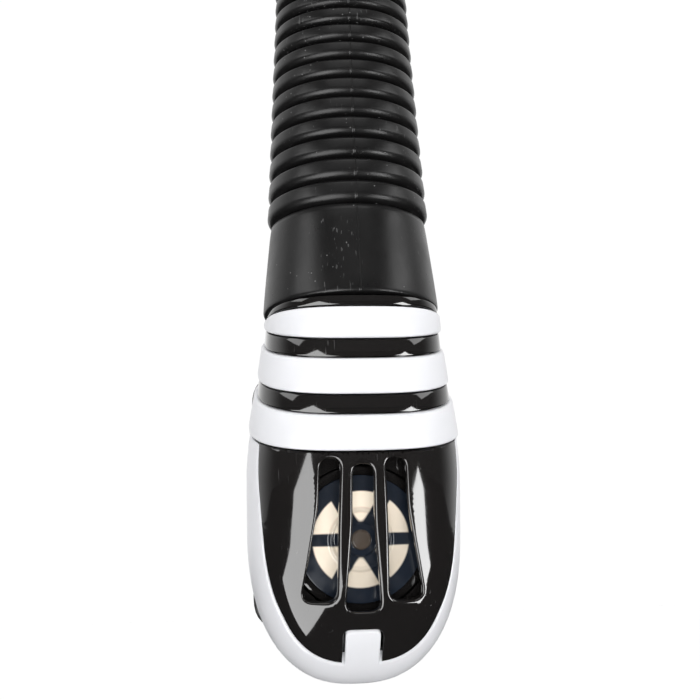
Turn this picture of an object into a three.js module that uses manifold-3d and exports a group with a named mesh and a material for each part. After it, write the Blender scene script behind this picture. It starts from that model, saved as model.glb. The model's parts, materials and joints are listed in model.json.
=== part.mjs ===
// Dry-top snorkel with a corrugated hose, a purge chamber and a swivelling mouthpiece.
// Millimetres, +Z up. The purge valve faces -Y and the mouthpiece +Y, towards the wearer.
// The rigid tube is upright; the pieces below it are drawn about the centre of the purge
// valve and tilted to meet it. The origin lies on the flat strap pad of the mask clip.
import * as THREE from 'three';
import { mergeVertices } from 'three/addons/utils/BufferGeometryUtils.js';
import Module from 'manifold-3d';

const wasm = await Module();
wasm.setup();

// ---------------------------------------------------------------- driving dimensions
const GAP = 0.3; // clearance between neighbouring pieces
const SIDES = 20; // facets around a round piece
const SECTION_SIDES = 28; // facets around the chamber
const FAR = 200; // size of the blocks that cut a half space

// Level tops, above the valve centre, of the solids that the chamber is cut from.
const TOP_OF = { shoulder: 52, body: 34, cavity: 36, shell: 40 };

const CHAMBER = {
  halfWidth: 21.7, // at the purge valve
  neckHalfWidth: 17.2, // under the hose
  front: 19.5, // depth from the axis to the purge cover
  neckFront: 17.2,
  rear: 19.5,
  neckRear: 17.6,
  bottom: 31, // depth below the valve centre
  bottomPower: 2.35,
  frontPower: 2.6, // the front rises earlier than the sides
  power: 2.8, // superellipse power of the level section
  taperLow: 10,
  taperHigh: 46,
};
const SKIN = 2.1; // wall of the white rear shell
const COVER_WALL = 1.8;
const BODY_INSET = SKIN + GAP; // chamber body under its outer shells
const BODY_WALL = 2;
// Parting between the purge cover and the rear shell: its depth at the valve's height and its
// slope, and the depth where it stops sloping further to the front.
const PARTING = { depth: -12.75, slope: 0.12, front: -14.5 };
const FRONT_WALL = -13.4; // flat outer face of the body round the valve seat

const BANDS = [
  { name: 'lower_band', low: 17.6, lowSlope: 0.16, high: 24.2, highSlope: 0.2, end: 8 },
  { name: 'middle_band', low: 28.2, lowSlope: 0.168, high: 34.9, highSlope: 0.136, end: 8 },
  { name: 'upper_band', low: 38.8, lowSlope: 0.12, high: 45.5, highSlope: -0.15, end: 1 },
];
const BAND_PROUD = 0.5;
const BAND_DEPTH = 1;
const COVER_TOP = 20; // height of the joint hidden under the lower band, at the front

const HOSE = {
  base: 43.5, // height of the lower cuff's edge on the axis
  cuff: 19.4,
  rings: 20,
  lowPitch: 4.97,
  pitchStep: 0.13,
  highPitch: 3.3,
  upperCuff: 16,
  leanLow: 14, // degrees from vertical, towards +Y
  leanHigh: 6,
  cuffFlare: 17.9,
  lowRadius: 16.75,
  highRadius: 14.3,
  taper: 47, // length over which the rings narrow
  cuffRadius: 15.6, // upper cuff
  grooveDepth: 1.7,
  bore: 12,
  socketLow: 14.9, // inside of the lower cuff
  socketHigh: 13.3,
};

const NECK = { outer: 14.5, bore: 12.2, height: 15 };
const VALVE = { disc: 12.5, seat: 14.2, hub: 3.3, petal: 9.4, spoke: 2.2, hole: 1.4 };
const PORT = { outer: 16.2, bore: 12.9, end: 27, pocket: 14.7, pocketEnd: 15.4, spigot: 12.5, passage: 9.8 };
const TUBE = { outer: 13, bore: 11, length: 262, intoHose: 14 };
const CLIP = { height: 150, collar: 16, length: 24, pad: 29.4, width: 34 };
const TOP = { cage: -29, cageOuter: 13.4, cageBore: 11.6, floatRadius: 9.6, floatTravel: 7 };

// ---------------------------------------------------------------- materials
function plastic(color, roughness) {
  return new THREE.MeshStandardMaterial({ color, roughness, metalness: 0 });
}
const BLACK_RUBBER = plastic(0x1c1c1d, 0.55);
const GLOSS_BLACK = plastic(0x0c0c0d, 0.16);
const MATTE_BLACK = plastic(0x161617, 0.42);
const WHITE = plastic(0xf1f2f4, 0.32);
const SILICONE = plastic(0x1b222c, 0.3);
const SOFT_BLACK = plastic(0x131314, 0.5);

// ---------------------------------------------------------------- solid helpers
function signedVolume(position, index) {
  let sum = 0;
  for (let i = 0; i < index.length; i += 3) {
    const [a, b, c] = [0, 1, 2].map((k) => {
      return new THREE.Vector3().fromArray(position, index[i + k] * 3);
    });
    sum += a.dot(b.cross(c));
  }
  return sum / 6;
}

function solidOf(geometry) {
  const bare = geometry.clone();
  bare.deleteAttribute('normal');
  bare.deleteAttribute('uv');
  const merged = mergeVertices(bare, 1e-4);
  const position = merged.attributes.position.array;
  const index = [];
  for (let i = 0; i < merged.index.count; i += 3) {
    const [a, b, c] = [0, 1, 2].map((k) => merged.index.getX(i + k));
    if (a !== b && b !== c && c !== a) index.push(a, b, c);
  }
  if (signedVolume(position, index) < 0) index.reverse();
  return new wasm.Manifold(
    new wasm.Mesh({
      numProp: 3,
      vertProperties: new Float32Array(position),
      triVerts: new Uint32Array(index),
    }),
  );
}

function geometryOf(solid) {
  const mesh = solid.simplify(0.01).getMesh();
  const geometry = new THREE.BufferGeometry();
  geometry.setAttribute('position', new THREE.BufferAttribute(mesh.vertProperties, 3));
  geometry.setIndex(new THREE.BufferAttribute(mesh.triVerts, 1));
  geometry.computeVertexNormals();
  return geometry;
}

function block(x0, x1, y0, y1, z0, z1) {
  const geometry = new THREE.BoxGeometry(x1 - x0, y1 - y0, z1 - z0);
  geometry.translate((x0 + x1) / 2, (y0 + y1) / 2, (z0 + z1) / 2);
  return solidOf(geometry);
}

// Turns a profile of [radius, height] points about +Z.
function turnedGeometry(profile, sides = SIDES) {
  const points = profile.map(([radius, height]) => new THREE.Vector2(radius, height));
  const geometry = new THREE.LatheGeometry(points, sides);
  geometry.rotateX(Math.PI / 2);
  return geometry;
}

function turned(profile, sides = SIDES) {
  return solidOf(turnedGeometry(profile, sides));
}

function rod(radius, low, high, sides = SIDES) {
  return turned([[0, low], [radius, low], [radius, high], [0, high]], sides);
}

function ring(inner, outer, low, high, sides = SIDES) {
  return turned(
    [[inner, low], [outer, low], [outer, high], [inner, high], [inner, low]],
    sides,
  );
}

// The same shapes lying along +Y: the turned axis is laid from +Z onto +Y.
const LAY_ON_Y = new THREE.Matrix4().makeRotationX(-Math.PI / 2);
function alongY(makeProfile, sides = SIDES) {
  const geometry = turnedGeometry(makeProfile, sides);
  geometry.applyMatrix4(LAY_ON_Y);
  return solidOf(geometry);
}

function rodY(radius, low, high, sides = SIDES) {
  return alongY([[0, low], [radius, low], [radius, high], [0, high]], sides);
}

function ringY(inner, outer, low, high, sides = SIDES) {
  const corners = [[inner, low], [outer, low], [outer, high], [inner, high], [inner, low]];
  return alongY(corners, sides);
}

// Extrudes an outline of [x, z] points from y0 to y1.
function plateY(outline, y0, y1) {
  const shape = new THREE.Shape(outline.map(([x, z]) => new THREE.Vector2(x, z)));
  const geometry = new THREE.ExtrudeGeometry(shape, { depth: y1 - y0, bevelEnabled: false });
  geometry.rotateX(Math.PI / 2);
  geometry.translate(0, y1, 0);
  return solidOf(geometry);
}

// Outline of a rectangle with rounded corners.
function roundedOutline(halfWidth, halfHeight, radius, centreX = 0, centreZ = 0, steps = 4) {
  const outline = [];
  for (let corner = 0; corner < 4; corner++) {
    const signX = corner === 0 || corner === 3 ? 1 : -1;
    const signZ = corner < 2 ? 1 : -1;
    for (let i = 0; i <= steps; i++) {
      const angle = ((corner + i / steps) * Math.PI) / 2;
      const x = centreX + signX * (halfWidth - radius) + radius * Math.cos(angle);
      const z = centreZ + signZ * (halfHeight - radius) + radius * Math.sin(angle);
      outline.push([x, z]);
    }
  }
  return outline;
}

// Skins a stack of level rings of points and closes both ends on their centres.
function lofted(rings, lowApex, highApex) {
  const count = rings[0].length;
  const position = rings.flat(2);
  const lowCentre = position.length / 3;
  position.push(...lowApex, ...highApex);
  const index = [];
  for (let level = 0; level + 1 < rings.length; level++) {
    for (let i = 0; i < count; i++) {
      const a = level * count + i;
      const b = level * count + ((i + 1) % count);
      index.push(a, b, b + count, a, b + count, a + count);
    }
  }
  const top = (rings.length - 1) * count;
  for (let i = 0; i < count; i++) {
    const next = (i + 1) % count;
    index.push(lowCentre, next, i, lowCentre + 1, top + i, top + next);
  }
  const geometry = new THREE.BufferGeometry();
  geometry.setAttribute('position', new THREE.Float32BufferAttribute(position, 3));
  geometry.setIndex(index);
  return solidOf(geometry);
}

// Keeps what lies under (or over) a plane that rises by slope for each mm of +Y.
function halfSpace(frontHeight, slope, side) {
  const geometry = new THREE.BoxGeometry(FAR, FAR, FAR);
  geometry.translate(0, 0, (side * FAR) / 2);
  geometry.rotateX(Math.atan(slope));
  geometry.translate(0, -CHAMBER.front, frontHeight);
  return solidOf(geometry);
}

// The wedge a band fills: two sloping planes, open towards the back.
function bandWedge({ low, lowSlope, high, highSlope, end }, clearance) {
  const over = halfSpace(low - clearance, lowSlope, 1);
  const under = halfSpace(high + clearance, highSlope, -1);
  const ahead = block(-FAR, FAR, -FAR, end + clearance, -FAR, FAR);
  return over.intersect(under).intersect(ahead);
}

function union(solids) {
  return solids.reduce((sum, solid) => sum.add(solid));
}

// ---------------------------------------------------------------- chamber surface
const signedPower = (value, power) => Math.sign(value) * Math.abs(value) ** power;

function sectionRing(z, halfWidth, front, rear, power) {
  const points = [];
  for (let i = 0; i < SECTION_SIDES; i++) {
    const angle = ((i + 0.5) / SECTION_SIDES) * 2 * Math.PI;
    const depth = Math.sin(angle) < 0 ? front : rear;
    const x = halfWidth * signedPower(Math.cos(angle), 2 / power);
    const y = depth * signedPower(Math.sin(angle), 2 / power);
    points.push([x, y, z]);
  }
  return points;
}

// Solid inside the chamber's outer surface, moved in by inset, up to a level top.
function chamberSolid(inset, top) {
  const rings = [];
  const bowlSteps = 7;
  const lowest = CHAMBER.bottom - inset;
  for (let i = 1; i <= bowlSteps; i++) {
    const angle = (1 - i / bowlSteps) * (Math.PI / 2);
    const power = 2 / CHAMBER.bottomPower;
    const scale = Math.cos(angle) ** power;
    const z = -lowest * Math.sin(angle) ** power;
    const halfWidth = (CHAMBER.halfWidth - inset) * scale;
    const frontScale = (1 - (-z / lowest) ** CHAMBER.frontPower) ** (1 / CHAMBER.frontPower);
    const front = (CHAMBER.front - inset) * (z > -lowest ? frontScale : 0);
    const rear = (CHAMBER.rear - inset) * scale;
    rings.push(sectionRing(z, halfWidth, front, rear, CHAMBER.power));
  }
  const levels = 6;
  for (let i = 0; i <= levels; i++) {
    const z = CHAMBER.taperLow + ((top - CHAMBER.taperLow) * i) / levels;
    const t = THREE.MathUtils.smoothstep(z, CHAMBER.taperLow, CHAMBER.taperHigh);
    const halfWidth = THREE.MathUtils.lerp(CHAMBER.halfWidth, CHAMBER.neckHalfWidth, t) - inset;
    const front = THREE.MathUtils.lerp(CHAMBER.front, CHAMBER.neckFront, t) - inset;
    const rear = THREE.MathUtils.lerp(CHAMBER.rear, CHAMBER.neckRear, t) - inset;
    rings.push(sectionRing(z, halfWidth, front, rear, CHAMBER.power));
  }
  return lofted(rings, [0, 0, -lowest], [0, 0, top]);
}

// ---------------------------------------------------------------- hose path
const ringPitches = [];
for (let i = 0; i < HOSE.rings; i++) {
  ringPitches.push(Math.max(HOSE.highPitch, HOSE.lowPitch - HOSE.pitchStep * i));
}
const corrugated = ringPitches.reduce((sum, pitch) => sum + pitch);
const hoseLength = HOSE.cuff + corrugated + HOSE.upperCuff;

// The path leans back from the chamber and straightens towards the rigid tube.
function leanAt(s) {
  const t = THREE.MathUtils.smoothstep(s, 0, hoseLength);
  return THREE.MathUtils.degToRad(THREE.MathUtils.lerp(HOSE.leanLow, HOSE.leanHigh, t));
}

function hosePoint(s) {
  const steps = 40;
  let y = 0;
  let z = HOSE.base;
  for (let i = 0; i < steps; i++) {
    const lean = leanAt(((i + 0.5) / steps) * s);
    y += (Math.sin(lean) * s) / steps;
    z += (Math.cos(lean) * s) / steps;
  }
  return new THREE.Vector3(0, y, z);
}

// Bends a piece that was turned about a straight +Z axis onto the hose path.
function bentOnHose(geometry) {
  const position = geometry.attributes.position;
  for (let i = 0; i < position.count; i++) {
    const s = position.getZ(i);
    const lean = leanAt(s);
    const centre = hosePoint(s);
    const across = position.getY(i);
    position.setY(i, centre.y + across * Math.cos(lean));
    position.setZ(i, centre.z - across * Math.sin(lean));
  }
  return geometry;
}

// ---------------------------------------------------------------- corrugated hose
function hoseProfile() {
  const outer = [[HOSE.cuffFlare, 0], [17.3, 4], [16.3, 12]];
  let s = HOSE.cuff;
  const crestAt = (along) => {
    const t = Math.min(1, along / HOSE.taper);
    return THREE.MathUtils.lerp(HOSE.lowRadius, HOSE.highRadius, t);
  };
  for (const pitch of ringPitches) {
    const crest = crestAt(s - HOSE.cuff);
    outer.push([crest - HOSE.grooveDepth, s]);
    outer.push([crest, s + 0.3 * pitch]);
    outer.push([crest - 0.35, s + 0.8 * pitch]);
    s += pitch;
  }
  outer.push([HOSE.highRadius - HOSE.grooveDepth, s]);
  outer.push([HOSE.cuffRadius - 0.2, s + 1.2]);
  outer.push([HOSE.cuffRadius, hoseLength]);
  const inner = [
    [HOSE.socketHigh, hoseLength],
    [HOSE.socketHigh, hoseLength - HOSE.upperCuff + 1],
    [HOSE.bore, hoseLength - HOSE.upperCuff],
    [HOSE.bore, HOSE.cuff - 2],
    [HOSE.socketLow, HOSE.cuff - 3],
    [HOSE.socketLow, 0],
  ];
  return [...outer, ...inner, outer[0]];
}

function corrugatedHose() {
  return solidOf(bentOnHose(turnedGeometry(hoseProfile())));
}

// ---------------------------------------------------------------- purge chamber
const neckBase = HOSE.base - 0.4;
const neckSlope = -Math.tan(THREE.MathUtils.degToRad(HOSE.leanLow));

// A round bar along the hose path, for the neck that the cuff is pushed over.
function neckRod(radius, low, high) {
  const middle = [1, 2, 3].map((i) => [radius, THREE.MathUtils.lerp(low, high, i / 4)]);
  const profile = [[0, low], [radius, low], ...middle, [radius, high], [0, high]];
  return solidOf(bentOnHose(turnedGeometry(profile)));
}

function bandGroove(band) {
  const outside = chamberSolid(-2, TOP_OF.shoulder);
  const recess = outside.subtract(chamberSolid(BAND_DEPTH + GAP, TOP_OF.shoulder));
  return recess.intersect(bandWedge(band, GAP));
}

function chamberBody() {
  const underNeck = halfSpace(neckBase - CHAMBER.front * neckSlope, neckSlope, -1);
  const overCover = halfSpace(COVER_TOP + GAP / 2, BANDS[0].lowSlope, 1);
  const upper = chamberSolid(0, TOP_OF.shoulder).intersect(underNeck).intersect(overCover);
  const behindSeat = block(-FAR, FAR, FRONT_WALL, FAR, -FAR, FAR);
  const lower = chamberSolid(BODY_INSET, TOP_OF.body).intersect(behindSeat);
  const neckSkin = neckRod(NECK.outer, -6, NECK.height);
  const neckHole = neckRod(NECK.bore, -9, NECK.height + 1);
  const boss = rodY(PORT.outer, 10, PORT.end);
  const outside = union([upper, lower, neckSkin, boss]);

  const cavityFront = block(-FAR, FAR, FRONT_WALL + BODY_WALL, FAR, -FAR, FAR);
  const cavity = chamberSolid(BODY_INSET + BODY_WALL, TOP_OF.cavity).intersect(cavityFront);
  const holes = [
    cavity,
    neckHole,
    rodY(VALVE.seat + GAP, -FAR / 2, 0),
    rodY(PORT.bore, 0, FAR / 2),
    rodY(PORT.pocket, 0, PORT.pocketEnd),
    ...BANDS.map(bandGroove),
  ];
  return holes.reduce((body, hole) => body.subtract(hole), outside);
}

function trimBand(band) {
  const outside = chamberSolid(-BAND_PROUD, TOP_OF.shoulder);
  const skin = outside.subtract(chamberSolid(BAND_DEPTH, TOP_OF.shoulder));
  return skin.intersect(bandWedge(band, 0));
}

function tab(clearance) {
  const outline = roundedOutline(3.5 + clearance, 10, 1.2, 0, -27.2 + clearance);
  return plateY(outline, -FAR / 2, PARTING.depth + 1.5);
}

// Everything ahead of the parting, with the parting moved back by shift.
function aheadOfParting(shift) {
  const degrees = THREE.MathUtils.radToDeg(Math.atan(PARTING.slope));
  const half = block(-FAR, FAR, -FAR, 0, -FAR, FAR);
  const sloping = half.rotate([-degrees, 0, 0]).translate([0, PARTING.depth + shift, 0]);
  return sloping.add(half.translate([0, PARTING.front + shift, 0]));
}

function rearShell() {
  const skin = chamberSolid(0, TOP_OF.shell).subtract(chamberSolid(SKIN, TOP_OF.shell + 1));
  const underBand = halfSpace(BANDS[0].low - GAP, BANDS[0].lowSlope, -1);
  const latch = skin.intersect(tab(0)).intersect(aheadOfParting(1));
  const shell = skin.subtract(aheadOfParting(0)).intersect(underBand);
  return shell.add(latch).subtract(rodY(PORT.outer + GAP, 0, FAR / 2));
}

// Rounds the corners of a closed outline with short curves that start radius away.
function roundedCorners(outline, radius, steps = 3) {
  const corners = outline.map(([x, z]) => new THREE.Vector2(x, z));
  return corners.flatMap((corner, i) => {
    const before = corners.at(i - 1).clone().sub(corner);
    const after = corners[(i + 1) % corners.length].clone().sub(corner);
    const reach = Math.min(radius, before.length() * 0.48, after.length() * 0.48);
    const start = corner.clone().add(before.setLength(reach));
    const end = corner.clone().add(after.setLength(reach));
    const curve = new THREE.QuadraticBezierCurve(start, corner, end);
    return curve.getPoints(steps).map((point) => point.toArray());
  });
}

// Three slots that flare towards the bottom; the outer two mirror each other.
function coverSlots() {
  const side = [[-8.2, 16.2], [-8.6, 7], [-11.9, -11.3], [-5, -11.3], [-4.8, 3], [-4.3, 16.2]];
  const centre = [[-2, 15.1], [-2.1, 4], [-3.5, -13.3], [3.5, -13.3], [2.1, 4], [2, 15.1]];
  const mirrored = side.map(([x, z]) => [-x, z]).reverse();
  const outlines = [side, centre, mirrored].map((line) => roundedCorners(line, 2.4));
  return union(outlines.map((line) => plateY(line, -FAR / 2, 0)));
}

function purgeCover() {
  const skin = chamberSolid(0, TOP_OF.shell).subtract(chamberSolid(COVER_WALL, TOP_OF.shell + 1));
  const underJoint = halfSpace(COVER_TOP - GAP / 2, BANDS[0].lowSlope, -1);
  const bandRecess = bandGroove(BANDS[0]);
  const shell = skin.intersect(aheadOfParting(-GAP)).intersect(underJoint).subtract(bandRecess);
  return shell.subtract(coverSlots()).subtract(tab(GAP + 0.1));
}

// Round grid that the valve disc rests on: a rim, six spokes and a hub with a hole.
function valveSeat() {
  const back = FRONT_WALL + 2;
  const plate = rodY(VALVE.seat, FRONT_WALL, back, 24);
  const petals = [];
  for (let i = 0; i < 6; i++) {
    const wedge = ringY(VALVE.hub + 0.4, VALVE.petal, FRONT_WALL - 1, back + 1, 24);
    const spoke = block(-FAR, FAR, -FAR, FAR, -VALVE.spoke / 2, VALVE.spoke / 2);
    petals.push(wedge.subtract(spoke.rotate([0, i * 60, 0])));
  }
  const openings = petals.reduce((common, petal) => common.intersect(petal));
  return plate.subtract(openings).subtract(rodY(VALVE.hole, -FAR / 2, 0, 12));
}

function valveDisc() {
  const back = FRONT_WALL - GAP;
  const profile = [
    [0, back + 2.9], [1, back + 2.6], [1, back], [VALVE.disc, back], [VALVE.disc, back - 0.7],
    [6.2, back - 0.7], [5.8, back - 1], [5.4, back - 0.7], [VALVE.hub, back - 0.7],
    [VALVE.hub, back - 1], [1.9, back - 1], [1.9, back - 1.6], [0, back - 1.6],
  ];
  return alongY(profile, 24);
}

// ---------------------------------------------------------------- mouthpiece side
const LIP = { y: 46, halfWidth: 19, halfHeight: 31, corner: 6, thick: 2.4 };

function ovalRing(halfX, halfZ, y, sides = 20) {
  const points = [];
  for (let i = 0; i < sides; i++) {
    const angle = (i / sides) * 2 * Math.PI;
    points.push([halfX * Math.cos(angle), y, halfZ * Math.sin(angle)]);
  }
  return points;
}

function ovalLoft(stations) {
  const rings = stations.map(([halfX, halfZ, y]) => ovalRing(halfX, halfZ, y));
  const ends = [stations[0][2], stations[stations.length - 1][2]];
  return lofted(rings, [0, ends[0], 0], [0, ends[1], 0]);
}

// Rigid elbow spigot that turns in the chamber's rear port and carries the mouthpiece.
function mouthpieceSpigot() {
  const outside = union([
    rodY(PORT.spigot, 12.5, PORT.end + 1),
    rodY(PORT.outer + 0.5, PORT.end + GAP, PORT.end + 2.6),
    ovalLoft([[10.2, 13.2, PORT.end + 2], [10.2, 13.2, 39]]),
    ovalLoft([[11, 14, 36.8], [11, 14, 38.4]]),
  ]);
  const sealGroove = ringY(11.2, 20, 20, 22.4);
  const snapGroove = ringY(11.3, 20, 13.6, 15.4);
  const passage = union([
    rodY(PORT.passage, -FAR / 2, 27),
    ovalLoft([[8.2, 9.8, 25], [8.2, 11.2, 45]]),
  ]);
  return outside.subtract(sealGroove).subtract(snapGroove).subtract(passage);
}

function swivelSeal() {
  const profile = [];
  for (let i = 0; i <= 8; i++) {
    const angle = (i / 8) * 2 * Math.PI;
    profile.push([11.95 + 0.55 * Math.cos(angle), 21.2 + 0.55 * Math.sin(angle)]);
  }
  return alongY(profile);
}

function snapRing() {
  const split = block(-1.5, 1.5, 0, 30, 8, 20);
  return ringY(11.6, 14.3, 13.9, 15.1).subtract(split);
}

// Silicone mouthpiece: sleeve, lip shield and two bite lugs, hollow right through.
function mouthpiece() {
  const sleeve = ovalLoft([
    [13, 16, 31.4], [13, 16, 40.6], [11.6, 15.2, LIP.y - 2], [13, 17, LIP.y + 0.6],
  ]);
  const shield = plateY(
    roundedOutline(LIP.halfWidth, LIP.halfHeight, LIP.corner, 0, 0, 6), LIP.y, LIP.y + LIP.thick);
  const nozzle = ovalLoft([[9.4, 12.4, LIP.y + 1], [8.8, 12, LIP.y + 7]]);
  const lugs = [-1, 1].map((side) => {
    const arm = plateY(roundedOutline(7.4, 3.6, 1.6, 0, side * 17.4), LIP.y + 1, LIP.y + 15);
    const stop = plateY(roundedOutline(9, 4.4, 1.6, 0, side * 17.6), LIP.y + 13, LIP.y + 16);
    return arm.add(stop);
  });
  const socket = ovalLoft([[10.5, 13.5, 20], [10.5, 13.5, 36.5], [11.3, 14.3, 36.5],
    [11.3, 14.3, 38.8], [10.5, 13.5, 38.8], [10.5, 13.5, 39.3]]);
  const passage = ovalLoft([[7.6, 10.6, 39], [6.6, 9.6, 60]]);
  return union([sleeve, shield, nozzle, ...lugs]).subtract(socket).subtract(passage);
}

function mouthpieceTie() {
  const strap = ovalLoft([[14.4, 17.4, 33], [14.4, 17.4, 36]]);
  const inside = ovalLoft([[13 + GAP, 16 + GAP, 20], [13 + GAP, 16 + GAP, 40]]);
  const lock = block(13.6, 17.2, 32, 37, -2.5, 2.5);
  return strap.add(lock).subtract(inside);
}

// ---------------------------------------------------------------- rigid tube and clip
// Pieces above the hose are drawn about the tube's own axis, upright from its lower end.
function upperTube() {
  const rim = TUBE.outer - 0.5;
  return turned([
    [TUBE.bore, 0], [rim, 0], [TUBE.outer, 1], [TUBE.outer, TUBE.length - 1],
    [rim, TUBE.length], [TUBE.bore, TUBE.length], [TUBE.bore, 0],
  ], 24);
}

function hoseRing() {
  const low = TUBE.intoHose - 9;
  const inner = HOSE.cuffRadius + GAP;
  return turned([
    [inner, low], [inner + 1, low], [inner + 1.8, low + 1], [inner + 1.8, low + 6],
    [inner + 1, low + 7], [inner, low + 7], [inner, low],
  ], 24);
}

function clipCollar() {
  const low = CLIP.height - CLIP.length / 2;
  const high = CLIP.height + CLIP.length / 2;
  const body = ring(TUBE.outer + GAP, CLIP.collar, low, high, 24);
  const dock = block(-8, 8, 12, 19.2, CLIP.height - 9, CLIP.height + 9);
  const bore = rod(TUBE.outer + GAP, 0, FAR * 2, 24);
  const pinHole = rodY(2.5 + GAP, 0, FAR / 2, 16).translate([0, 0, CLIP.height]);
  const headRecess = rodY(4.6, 0, 15.4, 16).translate([0, 0, CLIP.height]);
  return body.add(dock).subtract(bore).subtract(pinHole).subtract(headRecess);
}

function swivelPin() {
  const pin = rodY(2.5, 14, 21, 16);
  const innerHead = rodY(4.2, 13.8, 15, 16);
  const outerHead = rodY(4.2, 20.6, 21.3, 16);
  return union([pin, innerHead, outerHead]).translate([0, 0, CLIP.height]);
}

// Plate with a bridge over it: the mask strap runs along X between the two.
const PLATE = { back: 19.6, face: 21.4, bridge: 1.8, strap: 13.2, halfHeight: 20 };

function strapBuckle() {
  const { back, face, bridge, strap, halfHeight } = PLATE;
  const plate = plateY(roundedOutline(CLIP.width / 2, halfHeight, 4), back, face);
  const posts = [-1, 1].map((side) => {
    return block(-10, 10, back + 0.4, CLIP.pad, side * 15 - 1.7, side * 15 + 1.7);
  });
  const bar = plateY(roundedOutline(10, 16.7, 2), CLIP.pad - bridge, CLIP.pad);
  const pinHole = rodY(2.5 + GAP, 0, face + 1, 16);
  const headRecess = rodY(4.2 + GAP, face - 1.1, face + 1, 16);
  const strapWay = block(-FAR, FAR, face, CLIP.pad - bridge, -strap, strap);
  const buttonWay = block(-5, 5, 0, face + 0.1, -FAR, -15.4);
  const whole = union([plate, ...posts, bar]).subtract(strapWay);
  const open = whole.subtract(pinHole).subtract(headRecess).subtract(buttonWay);
  return open.translate([0, 0, CLIP.height]);
}

function releaseButton() {
  const cap = plateY(roundedOutline(4.6, 2.6, 1, 0, -21.6), 18.6, 23);
  const catchArm = block(-3.2, 3.2, PLATE.back + GAP, PLATE.face - GAP, -20, -17.4);
  return cap.add(catchArm).translate([0, 0, CLIP.height]);
}

// ---------------------------------------------------------------- dry top
const topDeck = TUBE.length + 4;

function capsule(radius, low, high) {
  const tubeSide = rod(radius, low, high, 20);
  const cageSide = rod(radius, low, high, 20).translate([0, TOP.cage, 0]);
  return tubeSide.add(cageSide).hull();
}

function dryTopBase() {
  const sleeve = rod(TUBE.outer + 2.6, TUBE.length - 24, topDeck, 24);
  const cage = rod(TOP.cageOuter, TUBE.length - 32, topDeck).translate([0, TOP.cage, 0]);
  const deck = capsule(TUBE.outer + 3, topDeck - 3, topDeck);
  const webs = block(-1.4, 1.4, TOP.cage, 0, TUBE.length - 24, topDeck);
  const tubeSocket = rod(TUBE.outer + GAP, 0, TUBE.length + GAP, 24);
  const tubeWay = rod(TUBE.bore, 0, FAR * 2, 24);
  const cageWay = rod(TOP.cageBore, TUBE.length - 30, topDeck - 5);
  const seatWay = rod(9.3, topDeck - 6, topDeck + 1);
  const drain = rod(4, TUBE.length - 40, topDeck - 5);
  const vents = [0, 60, 120, 240, 300].map((angle) => {
    const vent = block(-2.6, 2.6, -20, -6, TUBE.length - 27, topDeck - 9);
    return vent.rotate([0, 0, angle]);
  });
  const cageHoles = union([cageWay, seatWay, drain, ...vents]).translate([0, TOP.cage, 0]);
  const skin = union([sleeve, cage, deck, webs]);
  return skin.subtract(tubeSocket).subtract(tubeWay).subtract(cageHoles);
}

function portSeat() {
  const low = topDeck - 4.6;
  const profile = [
    [6.2, low], [7.4, low - 0.8], [8.6, low], [9, low + 1], [9, topDeck - 0.4],
    [6.2, topDeck - 0.4], [6.2, low],
  ];
  return turned(profile).translate([0, TOP.cage, 0]);
}

const floatTop = topDeck - 4.6 - 0.8 - TOP.floatTravel - 0.6;

function float() {
  const radius = TOP.floatRadius;
  return turned([
    [0, floatTop - 18], [radius - 2, floatTop - 18], [radius, floatTop - 16],
    [radius, floatTop - 3], [radius - 1, floatTop - 1.6 - GAP], [0, floatTop - 1.6 - GAP],
  ]).translate([0, TOP.cage, 0]);
}

function floatSeal() {
  const radius = TOP.floatRadius - 1;
  return turned([
    [0, floatTop - 1.6], [radius, floatTop - 1.6], [radius, floatTop], [0, floatTop],
  ]).translate([0, TOP.cage, 0]);
}

function splashCap() {
  const low = topDeck + GAP;
  const shell = (radius, lift) => {
    const dome = [[1, 0], [1, 7], [0.93, 12], [0.72, 16], [0.4, 18.2]];
    const layers = dome.map(([scale, height]) => {
      const rise = height > 0 ? height + lift : 0;
      return capsule(radius * scale, low + rise, low + rise + 0.2);
    });
    return layers.slice(1).reduce((sum, layer, i) => {
      return sum.add(layers[i].add(layer).hull());
    }, layers[0]);
  };
  return shell(TUBE.outer + 3, 0).subtract(shell(TUBE.outer + 1, -2).translate([0, 0, -0.1]));
}

// ---------------------------------------------------------------- assembly
const tubeLean = leanAt(hoseLength);
const tubeFoot = hosePoint(hoseLength - TUBE.intoHose);

const upper = new THREE.Group();
upper.position.set(0, -CLIP.pad, -CLIP.height);

const lower = new THREE.Group();
lower.rotation.x = tubeLean;
lower.position.copy(tubeFoot).applyEuler(lower.rotation).negate().add(upper.position);

const snorkel = new THREE.Group();
snorkel.add(upper, lower);

function place(group, name, solid, material) {
  const mesh = new THREE.Mesh(geometryOf(solid), material.clone());
  mesh.name = name;
  group.add(mesh);
}

place(lower, 'corrugated_hose', corrugatedHose(), BLACK_RUBBER);
place(lower, 'chamber_body', chamberBody(), GLOSS_BLACK);
for (const item of BANDS) place(lower, item.name, trimBand(item), WHITE);
place(lower, 'rear_shell', rearShell(), WHITE);
place(lower, 'purge_cover', purgeCover(), GLOSS_BLACK);
place(lower, 'purge_valve_seat', valveSeat(), GLOSS_BLACK);
place(lower, 'purge_valve_disc', valveDisc(), SILICONE);
place(lower, 'mouthpiece_spigot', mouthpieceSpigot(), MATTE_BLACK);
place(lower, 'swivel_seal', swivelSeal(), SOFT_BLACK);
place(lower, 'swivel_snap_ring', snapRing(), MATTE_BLACK);
place(lower, 'mouthpiece', mouthpiece(), SOFT_BLACK);
place(lower, 'mouthpiece_tie', mouthpieceTie(), MATTE_BLACK);

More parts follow.
